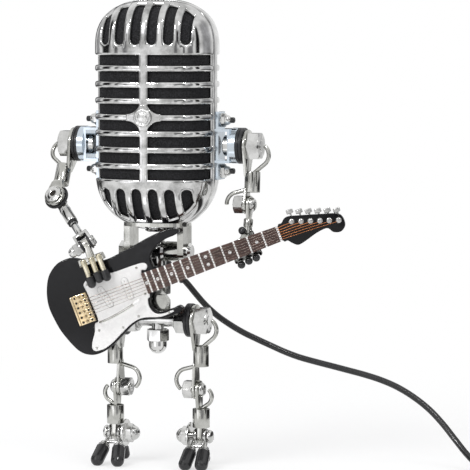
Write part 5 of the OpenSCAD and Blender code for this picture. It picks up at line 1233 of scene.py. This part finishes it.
for du, v in ((2.1, THUMB_V), (-3.9, FINGER_V - 0.7), (0, FINGER_V - 0.2), (3.8, FINGER_V)):
    inward = -math.copysign(1, v)
    arm.tube([(GRIP + du, v + inward * off, z) for off, z in (
        (2, middle), (0.5, middle), (0.12, middle + 0.25), (0, middle + 0.7), (0, BALL_N))], 1.1, 20, GUITAR)
arm.piece("forearm_link_left", SATIN, "forearm_left", "forearm_left", angle=32)


# ---------------------------------------------------------------- floor, world and lamps, in metres
def seen_rays(add):
    """1 for rays that show the backdrop: from the camera, from gloss and through glass."""
    path = add("LightPath").outputs
    most = path["Is Camera Ray"]
    for name in ("Is Glossy Ray", "Is Transmission Ray"):
        most = add("Math", {0: most, 1: path[name]}, operation="MAXIMUM").outputs[0]
    return most


FLOOR_SIZE, FADE_FROM, FADE_TO, NEAR_SHARE = 12, 0.10, 0.42, 0.62
floor_mat, tree, main, add = shader("pale_floor")
place = add("TexCoord").outputs["Object"]
cloud = add("TexNoise", {"Vector": place, "Scale": 3.0, "Detail": 4.0}).outputs["Fac"]
set_inputs(tree, main, {"Base Color": ramp(add, cloud, (0.3, 0.90), (0.7, 0.93)), "Roughness": 0.9,
                        "Specular IOR Level": 0.1})
away = add("VectorMath", {"Vector": place}, operation="LENGTH").outputs["Value"]
fade = add("MapRange", {"Value": away, "From Min": FADE_FROM, "From Max": FADE_TO, "To Min": NEAR_SHARE,
                        "To Max": 1.0}, interpolation_type="SMOOTHSTEP").outputs["Result"]
share = add("Math", {0: fade, 1: seen_rays(add)}, operation="MULTIPLY").outputs[0]
glow = add("Emission", {"Color": (1, 1, 1, 1), "Strength": 1.0}).outputs[0]
blend = add("MixShader", {"Fac": share, 1: main.outputs[0], 2: glow}).outputs[0]
set_inputs(tree, tree.nodes["Material Output"], {"Surface": blend})
bpy.ops.mesh.primitive_plane_add(size=FLOOR_SIZE, location=(0, 0, 0))
floor = bpy.context.object
floor.name = "floor"
floor.data.materials.append(floor_mat)

world = bpy.data.worlds.new("studio")
SCENE.world = world
world.use_nodes = True
world.node_tree.nodes.clear()
add = adder(world.node_tree)
soft = add("Background", {"Color": (0.97, 0.98, 1.0, 1), "Strength": 0.50}).outputs[0]
white = add("Background", {"Color": (1, 1, 1, 1), "Strength": 1.0}).outputs[0]
add("OutputWorld", {"Surface": add("MixShader", {"Fac": seen_rays(add), 1: soft, 2: white}).outputs[0]})


def screen(name, azimuth, spread, low, high, tone, radius):
    """A studio screen with soft edges that only reflections show, for the bands in polished metal."""
    mesh = bmesh.new()
    weight = mesh.verts.layers.float.new("fade")
    columns, rows, grid = 24, 12, []
    for j in range(rows + 1):
        grid.append([])
        for i in range(columns + 1):
            spot = polar(azimuth + spread * (i / columns - 0.5), 0, radius)
            spot.z = low + (high - low) * j / rows
            vert = mesh.verts.new(spot)
            side = min(i, columns - i) / (columns * 0.28)
            top = min(rows - j, j + 3) / (rows * 0.35)
            vert[weight] = min(side, 1) * min(top, 1)
            grid[-1].append(vert)
    for low_row, high_row in zip(grid, grid[1:]):
        for i in range(columns):
            mesh.faces.new((low_row[i], low_row[i + 1], high_row[i + 1], high_row[i]))
    data = bpy.data.meshes.new(name)
    mesh.to_mesh(data)
    mesh.free()
    mat, tree, _, add = shader(name)
    edge = add("Attribute", attribute_name="fade").outputs["Fac"]
    soft_edge = add("MapRange", {"Value": edge}, interpolation_type="SMOOTHSTEP").outputs["Result"]
    toned = add("Emission", {"Color": (tone, tone, tone * 1.03, 1), "Strength": 1.0}).outputs[0]
    clear = add("BsdfTransparent").outputs[0]
    over = add("MixShader", {"Fac": soft_edge, 1: clear, 2: toned}).outputs[0]
    set_inputs(tree, tree.nodes["Material Output"], {"Surface": over})
    data.materials.append(mat)
    obj = placed(name, data)
    obj.visible_camera = obj.visible_diffuse = obj.visible_shadow = obj.visible_transmission = False


# azimuth and spread in degrees, low and high edge in metres, tone, and radius in metres
SCREENS = [
    (-64, 34, -0.1, 2.2, 0.02, 1.9), (-104, 34, -0.1, 1.6, 0.40, 1.9), (-148, 50, -0.1, 1.5, 0.10, 1.9),
    (-40, 7, -0.1, 1.6, 0.15, 1.86), (-29, 5, -0.1, 1.6, 0.25, 1.86), (8, 7, -0.1, 1.4, 0.30, 1.86),
    (26, 6, -0.1, 1.4, 0.15, 1.86), (46, 26, -0.1, 1.8, 0.34, 1.9), (76, 24, -0.1, 2.0, 0.012, 1.9),
    (126, 66, -0.1, 1.8, 0.52, 1.9), (16, 30, 0.3, 1.2, 0.06, 1.9), (-26, 26, 0.7, 1.7, 1.9, 1.85),
    (40, 14, 0.6, 1.6, 1.6, 1.85), (-2.5, 16, 0.0, 0.05, 2.4, 1.0), (-122, 116, 0.0, 0.055, 0.10, 0.15),
    (-26, 30, 0.0, 0.055, 2.0, 0.15), (34, 50, 0.0, 0.055, 0.40, 0.15), (132, 110, 0.0, 0.055, 0.04, 0.15),
    (-112, 96, 0.03, 0.18, 0.12, 0.5), (-30, 22, 0.03, 0.18, 1.8, 0.5), (36, 40, 0.03, 0.18, 0.45, 0.5),
    (124, 90, 0.03, 0.18, 0.05, 0.5)]
for number, settings in enumerate(SCREENS):
    screen(f"screen_{number}", *settings)


def lamp(name, azimuth, elevation, distance, size, watts, sparks=False):
    """A square soft lamp aimed at the object; one for sparks lights only reflections, others never do."""
    light = bpy.data.lights.new(name, "AREA")
    light.shape, light.size, light.energy = "SQUARE", size, watts
    obj = placed(name, light)
    target = Vector((0, 0, 0.12))
    obj.location = target + polar(azimuth, elevation, distance)
    obj.rotation_euler = (target - obj.location).to_track_quat("-Z", "Y").to_euler()
    obj.visible_glossy, obj.visible_diffuse = sparks, not sparks


lamp("key", -30, 42, 1.3, 0.7, 9.5)
lamp("fill", 62, 28, 1.5, 0.8, 5)
lamp("top", 10, 80, 1.2, 0.6, 2.5)
lamp("rear", 190, 40, 1.5, 0.8, 5)
lamp("spark_left", -24, 34, 1.2, 0.13, 5, True)
lamp("spark_right", 28, 46, 1.2, 0.10, 2, True)
